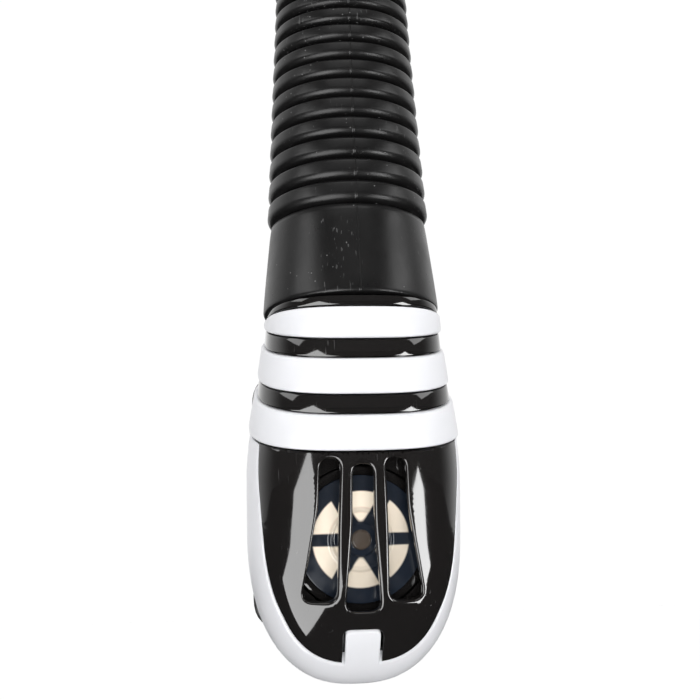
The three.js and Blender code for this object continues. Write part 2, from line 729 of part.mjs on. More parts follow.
place(upper, 'upper_tube', upperTube(), MATTE_BLACK);
place(upper, 'hose_ring', hoseRing(), WHITE);
place(upper, 'clip_collar', clipCollar(), MATTE_BLACK);
place(upper, 'swivel_pin', swivelPin(), MATTE_BLACK);
place(upper, 'strap_buckle', strapBuckle(), MATTE_BLACK);
place(upper, 'release_button', releaseButton(), WHITE);
place(upper, 'dry_top_base', dryTopBase(), GLOSS_BLACK);
place(upper, 'port_seat', portSeat(), SOFT_BLACK);
place(upper, 'float', float(), WHITE);
place(upper, 'float_seal', floatSeal(), SOFT_BLACK);
place(upper, 'splash_cap', splashCap(), WHITE);

export default snorkel;
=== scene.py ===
"""Looks of the dry-top snorkel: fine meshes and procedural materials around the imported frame.

Shapes are drawn in millimetres in one of two local frames, then carried into the row frame:
CHAMBER, about the centre of the purge valve, and TUBE, upright from the rigid tube's foot.
"""

import json
import math

import bpy
from mathutils import Matrix, Vector
from mathutils.geometry import delaunay_2d_cdt
from mathutils.kdtree import KDTree


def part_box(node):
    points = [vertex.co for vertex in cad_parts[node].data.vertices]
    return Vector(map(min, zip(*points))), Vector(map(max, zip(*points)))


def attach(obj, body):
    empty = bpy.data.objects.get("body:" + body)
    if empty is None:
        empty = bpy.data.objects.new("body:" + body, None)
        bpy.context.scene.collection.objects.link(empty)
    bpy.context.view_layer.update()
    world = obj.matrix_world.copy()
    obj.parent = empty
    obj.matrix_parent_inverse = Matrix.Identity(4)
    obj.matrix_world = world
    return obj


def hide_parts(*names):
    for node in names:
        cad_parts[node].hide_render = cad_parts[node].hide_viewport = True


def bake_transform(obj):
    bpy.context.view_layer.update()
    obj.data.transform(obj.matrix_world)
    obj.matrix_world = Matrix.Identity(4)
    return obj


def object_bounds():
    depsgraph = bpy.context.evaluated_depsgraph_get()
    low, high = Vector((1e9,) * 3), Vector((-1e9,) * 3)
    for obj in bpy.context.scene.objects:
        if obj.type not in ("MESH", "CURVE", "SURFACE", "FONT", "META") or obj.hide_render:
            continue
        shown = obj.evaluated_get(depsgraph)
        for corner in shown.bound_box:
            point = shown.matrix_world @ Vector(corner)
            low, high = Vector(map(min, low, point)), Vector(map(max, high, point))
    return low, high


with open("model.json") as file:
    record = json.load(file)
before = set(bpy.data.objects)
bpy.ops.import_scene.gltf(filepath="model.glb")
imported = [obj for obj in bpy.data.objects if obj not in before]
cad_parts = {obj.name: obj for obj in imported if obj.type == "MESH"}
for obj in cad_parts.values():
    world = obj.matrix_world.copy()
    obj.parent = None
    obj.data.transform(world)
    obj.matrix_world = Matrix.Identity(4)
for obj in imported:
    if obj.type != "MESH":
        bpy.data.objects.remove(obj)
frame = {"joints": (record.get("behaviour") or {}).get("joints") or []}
CAD_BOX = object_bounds()

MM = 0.001
ROW_SHARE = 0.866  # height of an equilateral triangle on a unit side

# --- local frames
swivel = next(joint for joint in frame["joints"] if joint["name"] == "mouthpiece_swivel")
valve_axis = Vector(swivel["axis"])
TILT = math.atan2(valve_axis.z, valve_axis.y)
CHAMBER = Matrix.Translation(swivel["pos_m"]) @ Matrix.Rotation(TILT, 4, "X")
tube_low, tube_high = (Vector(corner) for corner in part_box("upper_tube"))
tube_middle = (tube_low + tube_high) / 2
TUBE = Matrix.Translation((tube_middle.x, tube_middle.y, tube_low.z))

# --- driving dimensions, mm
HALF_WIDTH, NECK_HALF_WIDTH = 21.6, 17.2
FRONT, NECK_FRONT = 19.5, 17.2
REAR, NECK_REAR = 19.5, 17.6
BOTTOM, BOTTOM_POWER, FRONT_POWER = 30.84, 2.35, 2.6
SECTION_POWER = 2.8
TAPER_LOW, TAPER_HIGH = 10.0, 46.0
PARTING, PARTING_SLOPE, PARTING_FRONT = -12.75, 0.12, -14.5
GAP = 0.3
WELD = 0.004  # points nearer than this are one
FRONT_WALL = -13.4

# name: front height and slope of the lower edge, of the upper edge, and degrees round each side
BANDS = {
    "lower_band": (17.6, 0.16, 24.2, 0.2, 114.0),
    "middle_band": (28.2, 0.168, 34.9, 0.136, 114.0),
    "upper_band": (38.8, 0.12, 45.5, -0.15, 93.0),
}
LOW_BAND, LOW_BAND_SLOPE = BANDS["lower_band"][:2]
BAND_PROUD = 0.5
BAND_DEPTH = 1.0

HOSE_BASE = 43.5
CUFF = 19.4
RINGS = 20
LOW_PITCH, PITCH_STEP, HIGH_PITCH = 4.97, 0.13, 3.3
UPPER_CUFF = 16.0
LEAN_LOW, LEAN_HIGH = 14.0, 6.0
LOW_RADIUS, HIGH_RADIUS, HOSE_TAPER = 16.75, 14.3, 47.0
CUFF_RADIUS = 15.6
GROOVE = 1.7
HOSE_BORE = 12.0
HOSE_SOCKET, TUBE_SOCKET = 14.9, 13.3
NECK_OUTER, NECK_BORE, NECK_HEIGHT = 14.5, 12.2, 15.0
SKIN, COVER_WALL, BODY_INSET, BODY_WALL = 2.1, 1.8, 2.4, 2.0
COVER_TOP = 20.0
SEAT, DISC, HUB, PETAL, SPOKE, RIDGE, STEM_BUTTON = 14.2, 12.5, 3.7, 9.4, 2.2, 5.8, 1.9
PORT_OUTER, PORT_BORE, PORT_END = 16.2, 12.9, 27.0
POCKET, POCKET_END = 14.7, 15.4
TUBE_OUTER, TUBE_BORE, TUBE_LENGTH = 13.0, 11.0, 262.0

PITCHES = [max(HIGH_PITCH, LOW_PITCH - PITCH_STEP * i) for i in range(RINGS)]
CORRUGATED = sum(PITCHES)
HOSE_LENGTH = CUFF + CORRUGATED + UPPER_CUFF


# --- small maths
def lerp(a, b, t):
    return a + (b - a) * t


def superellipse(share, power):
    """Height over a share of the half width, both out of one."""
    return (1 - share**power) ** (1 / power)


def smoothstep(value, low, high):
    t = min(1.0, max(0.0, (value - low) / (high - low)))
    return t * t * (3 - 2 * t)


def fillet(points, radius, steps=4, closed=True):
    """Rounds every corner of a 2D line, by at most radius or half of each side."""
    count = len(points)
    rounded = []
    for i, (x, y) in enumerate(points):
        if not closed and i in (0, count - 1):
            rounded.append((x, y))
            continue
        here = Vector((x, y))
        before = Vector(points[i - 1]) - here
        after = Vector(points[(i + 1) % count]) - here
        reach = min(radius, 0.48 * before.length, 0.48 * after.length)
        start = here + before.normalized() * reach
        end = here + after.normalized() * reach
        for k in range(steps + 1):
            t = k / steps
            spot = start * (1 - t) ** 2 + here * (2 * t * (1 - t)) + end * t * t
            rounded.append((spot.x, spot.y))
    return rounded


def resample(points, spacing, closed=True):
    """Adds points so that no side of a 2D line is longer than spacing."""
    dense = []
    last = len(points) if closed else len(points) - 1
    for i in range(last):
        a, b = Vector(points[i]), Vector(points[(i + 1) % len(points)])
        parts = max(1, math.ceil((b - a).length / spacing))
        dense += [tuple(a.lerp(b, k / parts)) for k in range(parts)]
    if not closed:
        dense.append(points[-1])
    return dense


def offset_loop(points, distance):
    """Moves a counter-clockwise closed 2D line outwards by distance."""
    moved = []
    count = len(points)
    for i in range(count):
        along = Vector(points[(i + 1) % count]) - Vector(points[i - 1])
        out = Vector((along.y, -along.x)).normalized()
        moved.append((points[i][0] + out.x * distance, points[i][1] + out.y * distance))
    return moved


def counter_clockwise(points):
    pairs = zip(points, points[1:] + points[:1])
    return points if sum(a[0] * b[1] - b[0] * a[1] for a, b in pairs) > 0 else points[::-1]


def full_turn(count):
    """Angles spread evenly round a circle."""
    return [2 * math.pi * i / count for i in range(count)]


def contains(points, x, y):
    inside = False
    count = len(points)
    for i in range(count):
        ax, ay = points[i]
        bx, by = points[i - 1]
        if (ay > y) != (by > y) and x < (bx - ax) * (y - ay) / (by - ay) + ax:
            inside = not inside
    return inside


def circle(radius, count=120):
    return [(radius * math.cos(t), radius * math.sin(t)) for t in full_turn(count)]


# --- mesh building
class Shape:
    """Vertices in mm and faces, added to bit by bit."""

    def __init__(self):
        self.points = []
        self.faces = []

    def add(self, points, faces):
        start = len(self.points)
        self.points += [tuple(p) for p in points]
        self.faces += [tuple(i + start for i in face) for face in faces]
        return self

    def grid(self, rows, wrap_rows=False, wrap_columns=False):
        """Quads over rows of points; wraps join the last row or column to the first."""
        height, width = len(rows), len(rows[0])
        faces = []
        for r in range(height if wrap_rows else height - 1):
            for c in range(width if wrap_columns else width - 1):
                r2, c2 = (r + 1) % height, (c + 1) % width
                faces.append((r * width + c, r * width + c2, r2 * width + c2, r2 * width + c))
        return self.add([p for row in rows for p in row], faces)

    def closed_stack(self, rows):
        """Rows of closed loops with both ends closed on their centres."""
        self.grid(rows, wrap_columns=True)
        for loop in (rows[0], rows[-1]):
            count = len(loop)
            centre = sum((Vector(p) for p in loop), Vector()) / count
            faces = [(i, (i + 1) % count, count) for i in range(count)]
            self.add(list(loop) + [tuple(centre)], faces)
        return self

    def moved(self, matrix):
        self.points = [tuple(matrix @ Vector(p)) for p in self.points]
        return self


def revolve(profile, sides=96, along="Z", closed=True):
    """Turns (radius, height) points about an axis; closed joins the profile's ends."""
    rows = []
    for angle in full_turn(sides):
        c, s = math.cos(angle), math.sin(angle)
        if along == "Z":
            rows.append([(r * c, r * s, h) for r, h in profile])
        else:
            rows.append([(r * c, h, r * s) for r, h in profile])
    return Shape().grid(rows, wrap_rows=True, wrap_columns=closed)


def extrude_y(outline, y0, y1, edge=0.4, steps=3):
    """A plate with rounded edges from an (x, z) outline."""
    outline = counter_clockwise(outline)
    rows = []
    for k in range(steps + 1):
        angle = math.pi / 2 * k / steps
        inset, lift = edge * (1 - math.sin(angle)), edge * (1 - math.cos(angle))
        rows.append([(x, y0 + lift, z) for x, z in offset_loop(outline, -inset)])
    rows += [[(x, y0 + y1 - y, z) for x, y, z in row] for row in rows[::-1]]
    return Shape().closed_stack(rows)


def box_shape(x0, x1, y0, y1, z0, z1, edge=0.4):
    outline = [(x0, z0), (x1, z0), (x1, z1), (x0, z1)]
    return extrude_y(fillet(outline, 2 * edge, 3), y0, y1, edge)


def rod(radius, low, high, along="Z", edge=0.3, sides=96):
    line = [(0, low), (radius, low), (radius, high), (0, high)]
    return revolve(fillet(line, edge, 3, closed=False), sides, along)


def plain_rod(radius, low, high):
    return revolve([(0, low), (radius, low), (radius, high), (0, high)], 96, "Y")


def ring(inner, outer, low, high, along="Z", edge=0.3, sides=96):
    line = [(inner, low), (outer, low), (outer, high), (inner, high)]
    return revolve(fillet(line, edge, 3), sides, along)


def oval_loft(stations, sides=96):
    """Ovals of (half width, half height, y), one behind the other, closed at both ends."""
    turns = full_turn(sides)
    return Shape().closed_stack(
        [[(a * math.cos(t), y, b * math.sin(t)) for t in turns] for a, b, y in stations]
    )


def slab(half_width, half_height, corner, y0, y1, edge, z=0.0, steps=4):
    """A plate with the outline of a rounded rectangle centred at height z."""
    line = [(1, 1), (-1, 1), (-1, -1), (1, -1)]
    line = [(half_width * i, z + half_height * k) for i, k in line]
    return extrude_y(fillet(line, corner * 1.25, 8), y0, y1, edge, steps)


def linked(name, data):
    obj = bpy.data.objects.new(name, data)
    bpy.context.collection.objects.link(obj)
    return obj


def make_object(name, shape, place):
    mesh = bpy.data.meshes.new(name)
    to_row = place @ Matrix.Scale(MM, 4)
    mesh.from_pydata([tuple(to_row @ Vector(p)) for p in shape.points], [], shape.faces)
    return linked(name, mesh)


def clean(obj, sharp=40.0):
    """Welds doubled points, turns faces outwards and shades smooth below an angle."""
    bpy.ops.object.select_all(action="DESELECT")
    bpy.context.view_layer.objects.active = obj
    obj.select_set(True)
    bpy.ops.object.mode_set(mode="EDIT")
    bpy.ops.mesh.select_all(action="SELECT")
    bpy.ops.mesh.remove_doubles(threshold=WELD * MM)
    bpy.ops.mesh.normals_make_consistent(inside=False)
    bpy.ops.object.mode_set(mode="OBJECT")
    obj.select_set(False)
    obj.data.shade_smooth()
    obj.data.set_sharp_from_angle(angle=math.radians(sharp))


def cut(obj, shape, place, operation="DIFFERENCE"):
    """Boolean of one closed object with a closed shape."""
    tool = make_object("tool", shape, place)
    clean(tool)
    modifier = obj.modifiers.new("cut", "BOOLEAN")
    modifier.object = tool
    modifier.operation = operation
    modifier.solver = "EXACT"
    bpy.context.view_layer.objects.active = obj
    bpy.ops.object.modifier_apply(modifier=modifier.name)
    bpy.data.objects.remove(tool)


def finish_piece(obj, body, slot, node):
    """Gives a mesh its material and the body it rides on, and hides the node it stands for."""
    obj.data.materials.clear()
    obj.data.materials.append(LOOKS[slot])
    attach(obj, body)
    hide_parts(node)


def piece(name, shape, place, body, slot, node, sharp=40.0):
    obj = make_object(name, shape, place)
    clean(obj, sharp)
    finish_piece(obj, body, slot, node)


def built(name, base, place, body, slot, node, adds=(), cuts=(), sharp=38):
    """A piece made from closed shapes: joined to the first, then cut by the others."""
    obj = make_object(name, base, place)
    clean(obj)
    for shape in adds:
        cut(obj, shape, place, "UNION")
    for shape in cuts:
        cut(obj, shape, place)
    clean(obj, sharp)
    finish_piece(obj, body, slot, node)


# --- chamber surface
def section(z, inset=0.0):
    """Half width, front depth and rear depth of the chamber's level section."""
    if z < 0:
        share = min(1.0, -z / (BOTTOM - inset))
        scale, ahead = superellipse(share, BOTTOM_POWER), superellipse(share, FRONT_POWER)
        return (HALF_WIDTH - inset) * scale, (FRONT - inset) * ahead, (REAR - inset) * scale
    t = smoothstep(z, TAPER_LOW, TAPER_HIGH)
    return (
        lerp(HALF_WIDTH, NECK_HALF_WIDTH, t) - inset,
        lerp(FRONT, NECK_FRONT, t) - inset,
        lerp(REAR, NECK_REAR, t) - inset,
    )


def chamber_point(angle, z, inset=0.0):
    """Point at a polar angle (0 at +X, -90 degrees at the front) on the surface."""
    half_width, front, rear = (max(0.001, size) for size in section(z, inset))
    c, s = math.cos(angle), math.sin(angle)
    depth = front if s < 0 else rear
    p = SECTION_POWER
    reach = (abs(c / half_width) ** p + abs(s / depth) ** p) ** (-1 / p)
    return reach * c, reach * s, z


def sloped_point(angle, front_height, slope, inset=0.0):
    """The surface point where a plane that rises by slope per mm of +Y meets it."""
    z = front_height
    for _ in range(4):
        y = chamber_point(angle, z, inset)[1]
        z = front_height + slope * (y + FRONT)
    return chamber_point(angle, z, inset)


def front_y(x, z, inset=0.0):
    """Depth of the front surface over a point of the front view."""
    half_width, front, _ = (max(0.001, size) for size in section(z, inset))
    return -front * superellipse(min(1.0, abs(x) / half_width), SECTION_POWER)


def parting_y(z, shift=0.0):
    """Depth of the parting between cover and shell, moved by shift."""
    return max(PARTING_FRONT, PARTING + PARTING_SLOPE * z) + shift


def parting_x(z, shift=0.0):
    """Half width of the front view where the surface crosses the parting."""
    half_width, front, _ = section(z)
    ratio = min(1.0, -parting_y(z, shift) / max(0.001, front))
    return half_width * superellipse(ratio, SECTION_POWER)


def parting_bottom(shift):
    """Lowest height where the parting still cuts the front."""
    return -BOTTOM * superellipse(-(PARTING_FRONT + shift) / FRONT, FRONT_POWER)


def point_along(direction, inset=0.0):
    """Where a ray from the centre leaves the chamber's surface."""
    low, high = 0.0, 80.0
    for _ in range(30):
        middle = (low + high) / 2
        x, y, z = direction * middle
        half_width, front, rear = (max(0.001, size) for size in section(z, inset))
        depth = front if y < 0 else rear
        p = SECTION_POWER
        if abs(x / half_width) ** p + abs(y / depth) ** p < 1:
            low = middle
        else:
            high = middle
    return tuple(direction * low)


# --- relief plates
def inner_points(outline, holes, spacing, clearance):
    """A staggered grid of points inside an outline and outside its holes."""
    rim = [p for loop in [outline] + holes for p in resample(loop, clearance / 2)]
    tree = KDTree(len(rim))
    for i, (x, z) in enumerate(rim):
        tree.insert((x, z, 0), i)
    tree.balance()
    low_x, high_x = min(p[0] for p in rim), max(p[0] for p in rim)
    low_z, high_z = min(p[1] for p in rim), max(p[1] for p in rim)
    kept = []
    rows = int((high_z - low_z) / (spacing * ROW_SHARE)) + 1
    columns = int((high_x - low_x) / spacing) + 1
    for row in range(rows):
        for column in range(columns):
            x = low_x + spacing * (column + 0.5 * (row % 2))
            z = low_z + spacing * ROW_SHARE * (row + 0.5)
            if tree.find((x, z, 0))[2] < clearance or not contains(outline, x, z):
                continue
            if not any(contains(hole, x, z) for hole in holes):
                kept.append((x, z))
    return kept


def relief(outline, holes, outer, inner, edge, hole_edge, spacing=0.8, steps=4, lines=()):
    """A plate drawn in a plane and carried into space by outer(u, v, drop) and inner(u, v).

    The outline's edge and the holes' edges are rounded off with quarter circles.
    """
    outline = counter_clockwise(outline)
    holes = [counter_clockwise(hole) for hole in holes]
    flat, drops, constraints, rims = [], [], [], []
    for loop, radius, sign in [(outline, edge, -1)] + [(h, hole_edge, 1) for h in holes]:
        rims.append((len(flat), len(loop)))
        for k in range(steps + 1):
            turn = math.pi / 2 * k / steps
            start, count = len(flat), len(loop)
            flat += offset_loop(loop, sign * radius * (1 - math.cos(turn)))
            drops += [radius * (1 - math.sin(turn))] * count
            constraints += [(start + i, start + (i + 1) % count) for i in range(count)]
    for line in lines:
        constraints += [(len(flat) + i, len(flat) + i + 1) for i in range(len(line) - 1)]
        flat += line
        drops += [0.0] * len(line)
    limits = [offset_loop(hole, hole_edge) for hole in holes]
    extra = inner_points(offset_loop(outline, -edge), limits, spacing, spacing * 0.45)
    flat += extra
    drops += [0.0] * len(extra)
    found = delaunay_2d_cdt([Vector(p) for p in flat], constraints, [], 0, 1e-6, True)
    places, triangles, sources = found[0], found[2], found[3]
    drop_of = [max((drops[i] for i in source), default=0.0) for source in sources]
    slot_of = {i: k for k, source in enumerate(sources) for i in source}

    kept = []
    for triangle in triangles:
        middle = sum((places[i] for i in triangle), Vector((0, 0))) / 3
        held = any(contains(hole, middle.x, middle.y) for hole in holes)
        if contains(outline, middle.x, middle.y) and not held:
            kept.append(tuple(triangle))
    count = len(places)
    points = [outer(p.x, p.y, drop) for p, drop in zip(places, drop_of)]
    points += [inner(p.x, p.y) for p in places]
    faces = kept + [tuple(i + count for i in face[::-1]) for face in kept]
    for start, length in rims:
        ids = [slot_of[start + i] for i in range(length)]
        for a, b in zip(ids, ids[1:] + ids[:1]):
            faces.append((a, b, b + count, a + count))
    return Shape().add(points, faces)


# --- hose path
def lean_at(s):
    return math.radians(lerp(LEAN_LOW, LEAN_HIGH, smoothstep(s, 0, HOSE_LENGTH)))


def hose_point(s):
    steps = 40
    y, z = 0.0, HOSE_BASE
    for i in range(steps):
        lean = lean_at((i + 0.5) / steps * s)
        y += math.sin(lean) * s / steps
        z += math.cos(lean) * s / steps
    return y, z


def bend_on_hose(shape):
    """Carries a shape drawn about a straight +Z axis onto the hose path."""
    frames = {}
    bent = []
    for x, across, s in shape.points:
        key = round(s, 4)
        if key not in frames:
            lean = lean_at(s)
            frames[key] = (*hose_point(s), math.cos(lean), math.sin(lean))
        y, z, c, sn = frames[key]
        bent.append((x, y + across * c, z - across * sn))
    shape.points = bent
    return shape


# --- materials
class Look:
    """A Principled material and short calls for the nodes that feed it."""

    def __init__(self, name):
        self.material = bpy.data.materials.new(name)
        self.material.use_nodes = True
        self.nodes = self.material.node_tree.nodes
        self.links = self.material.node_tree.links
        self.shader = self.nodes["Principled BSDF"]
        self.place = self.nodes.new("ShaderNodeTexCoord").outputs["Object"]

    def set(self, **values):
        for name, value in values.items():
            self.shader.inputs[name.replace("_", " ")].default_value = value
        return self

    def placed(self, kind, vector=None, **values):
        """A new node with these values, fed with a vector or with the object's own place."""
        node = self.nodes.new("ShaderNode" + kind)
        for name, value in values.items():
            node.inputs[name].default_value = value
        self.links.new(vector or self.place, node.inputs["Vector"])
        return node.outputs

    def noise(self, scale, detail=3.0, rough=0.5, vector=None):
        return self.placed("TexNoise", vector, Scale=scale, Detail=detail, Roughness=rough)["Fac"]

    def cells(self, scale):
        return self.placed("TexVoronoi", Scale=scale)["Distance"]

    def span(self, value, low, high, to_low=0.0, to_high=1.0):
        node = self.nodes.new("ShaderNodeMapRange")
        node.interpolation_type = "SMOOTHSTEP"
        for key, number in zip(("From Min", "From Max", "To Min", "To Max"),
                               (low, high, to_low, to_high)):
            node.inputs[key].default_value = number
        self.links.new(value, node.inputs["Value"])
        return node.outputs["Result"]

    def maths(self, operation, a, b):
        node = self.nodes.new("ShaderNodeMath")
        node.operation = operation
        for socket, value in zip(node.inputs, (a, b)):
            if isinstance(value, (int, float)):
                socket.default_value = value
            else:
                self.links.new(value, socket)
        return node.outputs["Value"]

    def times(self, a, b):
        return self.maths("MULTIPLY", a, b)

    def mix(self, factor, a, b):
        node = self.nodes.new("ShaderNodeMix")
        node.data_type = "RGBA"
        self.links.new(factor, node.inputs["Factor"])
        for socket, colour in ((node.inputs[6], a), (node.inputs[7], b)):
            if isinstance(colour, tuple):
                socket.default_value = (*colour, 1)
            else:
                self.links.new(colour, socket)
        return node.outputs[2]

    def feed(self, name, value):
        self.links.new(value, self.shader.inputs[name])
        return self

    def bumps(self, *layers):
        """Feeds the normal with (height, depth in mm) layers, the finest first."""
        normal = None
        for height, depth_mm in layers:
            node = self.nodes.new("ShaderNodeBump")
            node.inputs["Distance"].default_value = depth_mm * MM
            self.links.new(height, node.inputs["Height"])
            if normal:
                self.links.new(normal, node.inputs["Normal"])
            normal = node.outputs["Normal"]
        return self.feed("Normal", normal)

    def clouds(self, value, dark, light):
        """Sets the plain colour, which wanders between dark and light."""
        self.base = self.mix(value, dark, light)

    def marked(self, marks, share, colour):
        """Feeds the base colour: the plain colour, with marks over it at a share."""
        self.feed("Base Color", self.mix(self.times(marks, share), self.base, colour))

    def worn(self, scale, detail, low, high):
        """A roughness that wanders between low and high."""
        return self.span(self.noise(scale, detail, 0.6), 0.3, 0.7, low, high)

    def specks(self, per_metre, size, cover):
        """Small dust dots: cell centres, kept only where a slow noise is high."""
        dots = self.span(self.cells(per_metre), size, size * 0.5)
        where = self.span(self.noise(per_metre * 0.13, 1), 1 - cover, 1.04 - cover)
        return self.times(dots, where)

    def scratches(self, along, across, turn, cover):
        """Thin hairlines: a noise stretched along one direction, cut at its peaks."""
        stretched = self.placed("Mapping", Scale=(across, across, along), Rotation=turn)["Vector"]
        lines = self.span(self.noise(1.0, 1, 0.4, stretched), 1 - cover, 1.02 - cover)
        where = self.span(self.noise(60, 1), 0.5, 0.62)
        return self.times(lines, where)


def rubber_look():
    look = Look("black_rubber").set(Specular_IOR_Level=0.3)
    dust = look.specks(620, 0.11, 0.52)
    scuffs = look.scratches(90, 2600, (0.5, 0.2, 0.3), 0.3)
    marks = look.maths("MAXIMUM", dust, look.times(scuffs, 0.5))
    look.clouds(look.noise(55, 4, 0.6), (0.005, 0.005, 0.0052), (0.011, 0.0105, 0.0105))
    look.marked(marks, 0.5, (0.3, 0.3, 0.3))
    dusty = look.times(marks, 0.25)
    look.feed("Roughness", look.maths("ADD", look.worn(140, 5, 0.27, 0.38), dusty))
    look.bumps((look.noise(5200, 2), 0.006), (look.noise(420, 3), 0.02))
    return look.material


def gloss_black_look():
    look = Look("gloss_black").set(Specular_IOR_Level=0.5, Coat_Weight=0.3, Coat_Roughness=0.03)
    lint = look.scratches(110, 3200, (0.7, 0.5, 0.1), 0.27)
    dust = look.specks(430, 0.075, 0.4)
    marks = look.maths("MAXIMUM", look.times(lint, 0.5), dust)
    look.clouds(look.noise(40, 3), (0.009, 0.0085, 0.0085), (0.015, 0.0135, 0.013))
    look.marked(marks, 0.4, (0.25, 0.25, 0.25))
    smear = look.span(look.noise(75, 4, 0.6), 0.35, 0.7, 0.045, 0.1)
    look.feed("Roughness", look.maths("ADD", smear, look.times(marks, 0.3)))
    look.bumps((look.noise(95, 1), 0.03))
    return look.material


def matte_black_look():
    look = Look("matte_black").set(Specular_IOR_Level=0.45)
    look.clouds(look.noise(70, 4), (0.012, 0.012, 0.0125), (0.02, 0.02, 0.0205))
    look.marked(look.scratches(70, 2400, (0.3, 0.1, 0.6), 0.31), 0.3, (0.2, 0.2, 0.2))
    look.feed("Roughness", look.worn(160, 5, 0.34, 0.46))
    look.bumps((look.cells(3600), 0.014), (look.noise(600, 2), 0.01))
    return look.material


def white_look():
    look = Look("white_plastic").set(Specular_IOR_Level=0.42)
    look.clouds(look.noise(34, 4, 0.6), (0.845, 0.85, 0.88), (0.865, 0.87, 0.9))
    look.marked(look.specks(300, 0.045, 0.33), 0.4, (0.5, 0.49, 0.47))
    look.feed("Roughness", look.worn(120, 4, 0.33, 0.36))
    look.bumps((look.noise(3000, 2), 0.004), (look.noise(110, 2), 0.025))
    return look.material


def black_silicone_look():
    look = Look("black_silicone").set(Specular_IOR_Level=0.4, Sheen_Weight=0.08)
    look.clouds(look.noise(90, 5, 0.6), (0.009, 0.009, 0.0095), (0.019, 0.019, 0.02))
    look.marked(look.specks(380, 0.09, 0.46), 0.4, (0.3, 0.3, 0.3))
    look.feed("Roughness", look.span(look.noise(200, 4), 0.3, 0.7, 0.36, 0.52))
    look.bumps((look.noise(2600, 2), 0.01))
    return look.material


def flap_look():
    """Smoky silicone, with painted light where the seat has its six windows: a cream colour and an
    emission glow that stand in for light coming through from behind.
    """
    look = Look("smoke_silicone").set(Specular_IOR_Level=0.5)
    shift = -(Matrix.Rotation(-TILT, 3, "X") @ CHAMBER.translation)
    local = look.placed("Mapping", Rotation=(-TILT, 0, 0), Location=shift)["Vector"]
    split = look.placed("SeparateXYZ", local)
    x, z = split["X"], split["Z"]
    turn = look.times(look.maths("ARCTAN2", z, x), 3)
    squares = look.maths("ADD", look.times(x, x), look.times(z, z))
    radius = look.maths("POWER", squares, 0.5)
    waves = look.maths("ABSOLUTE", look.maths("SINE", turn, 0), 0)
    from_spoke = look.times(look.times(waves, radius), 1 / 3)
    window = look.span(from_spoke, (SPOKE / 2 - 0.1) * MM, (SPOKE / 2 + 0.25) * MM)
    window = look.times(window, look.span(radius, (HUB - 0.4) * MM, (HUB - 0.1) * MM))
    window = look.times(window, look.span(radius, (PETAL - 0.2) * MM, (PETAL + 0.2) * MM, 1, 0))
    smoke = look.mix(look.noise(220, 4), (0.009, 0.013, 0.022), (0.018, 0.025, 0.038))
    button = look.span(radius, (STEM_BUTTON - 0.1) * MM, (STEM_BUTTON + 0.2) * MM, 1, 0)
    smoke = look.mix(button, smoke, (0.09, 0.07, 0.055))
    # painted backlight: the cream colour in the windows stands in for light seen through the flap
    lit = look.mix(look.noise(130, 5, 0.6), (0.62, 0.53, 0.42), (0.8, 0.72, 0.6))
    look.feed("Base Color", look.mix(window, smoke, lit))
    # painted glow: the windows' emission, stronger towards the upper left
    painted_glow_slope = look.span(look.maths("SUBTRACT", z, x), -11 * MM, 8 * MM, 0.1, 0.42)
    # painted shade: the glow dims near the ring ridge
    off_ridge = look.maths("ABSOLUTE", look.maths("SUBTRACT", radius, RIDGE * MM), 0)
    painted_ridge_shade = look.span(off_ridge, 0.35 * MM, 0.75 * MM, 0.55, 1)
    # the windows glow though no lamp is there: painted light
    look.set(Emission_Color=(1, 0.87, 0.7, 1))
    look.feed("Emission Strength", look.times(window, look.times(painted_glow_slope, painted_ridge_shade)))
    look.feed("Roughness", look.span(look.noise(300, 3), 0.3, 0.7, 0.12, 0.24))
    look.bumps((look.noise(500, 3), 0.01))
    return look.material


LOOKS = {
    "black_rubber": rubber_look(),
    "gloss_black": gloss_black_look(),
    "matte_black": matte_black_look(),
    "white_plastic": white_look(),
    "black_silicone": black_silicone_look(),
    "smoke_silicone": flap_look(),
}


# --- corrugated hose
def ring_profile():
    """Outer radius against length along the hose: flared cuff, rings, upper cuff."""
    cuff = [(16.9, 0), (17.75, 0.35), (17.95, 0.9), (17.8, 3), (17.4, 7), (16.85, 12), (16.3, 17)]
    s = CUFF
    profile = fillet(cuff + [(16.0, s - 0.6)], 1.0, 3, closed=False)
    rings = []
    for pitch in PITCHES:
        crest = lerp(LOW_RADIUS, HIGH_RADIUS, min(1.0, (s - CUFF) / HOSE_TAPER))
        rings += [
            (crest - GROOVE, s),
            (crest - 0.55, s + 0.1 * pitch),
            (crest, s + 0.3 * pitch),
            (crest - 0.28, s + 0.84 * pitch),
            (crest - GROOVE, s + 0.97 * pitch),
        ]
        s += pitch
    top = CUFF_RADIUS
    rings += [(HIGH_RADIUS - GROOVE, s), (top - 0.2, s + 1.2), (top, s + 3), (top, HOSE_LENGTH)]
    return profile + fillet(rings, 0.45, 4, closed=False)


def hose_shape():
    """The turned hose, with a fine mould line standing up along its front."""
    outside = ring_profile()
    inside = [
        (TUBE_SOCKET, HOSE_LENGTH), (TUBE_SOCKET, HOSE_LENGTH - 15), (HOSE_BORE, HOSE_LENGTH - 16),
        (HOSE_BORE, CUFF - 2), (HOSE_SOCKET, CUFF - 3), (HOSE_SOCKET, 0),
    ]
    line_half, line_rise, plain = 0.7, 0.06, 150
    sides = [-90 + 360 * (i + 0.5) / plain for i in range(plain)]
    sides += [-90 + line_half * k / 3 for k in range(-3, 4)]
    columns = []
    for degrees in sorted(sides):
        away = abs(degrees + 90) / line_half
        rise = line_rise * max(0.0, 1 - away**2)
        angle = math.radians(degrees)
        c, s = math.cos(angle), math.sin(angle)
        column = [((r + rise) * c, (r + rise) * s, h) for r, h in outside]
        columns.append(column + [(r * c, r * s, h) for r, h in resample(inside, 4, closed=False)])
    return bend_on_hose(Shape().grid(columns, wrap_rows=True, wrap_columns=True))


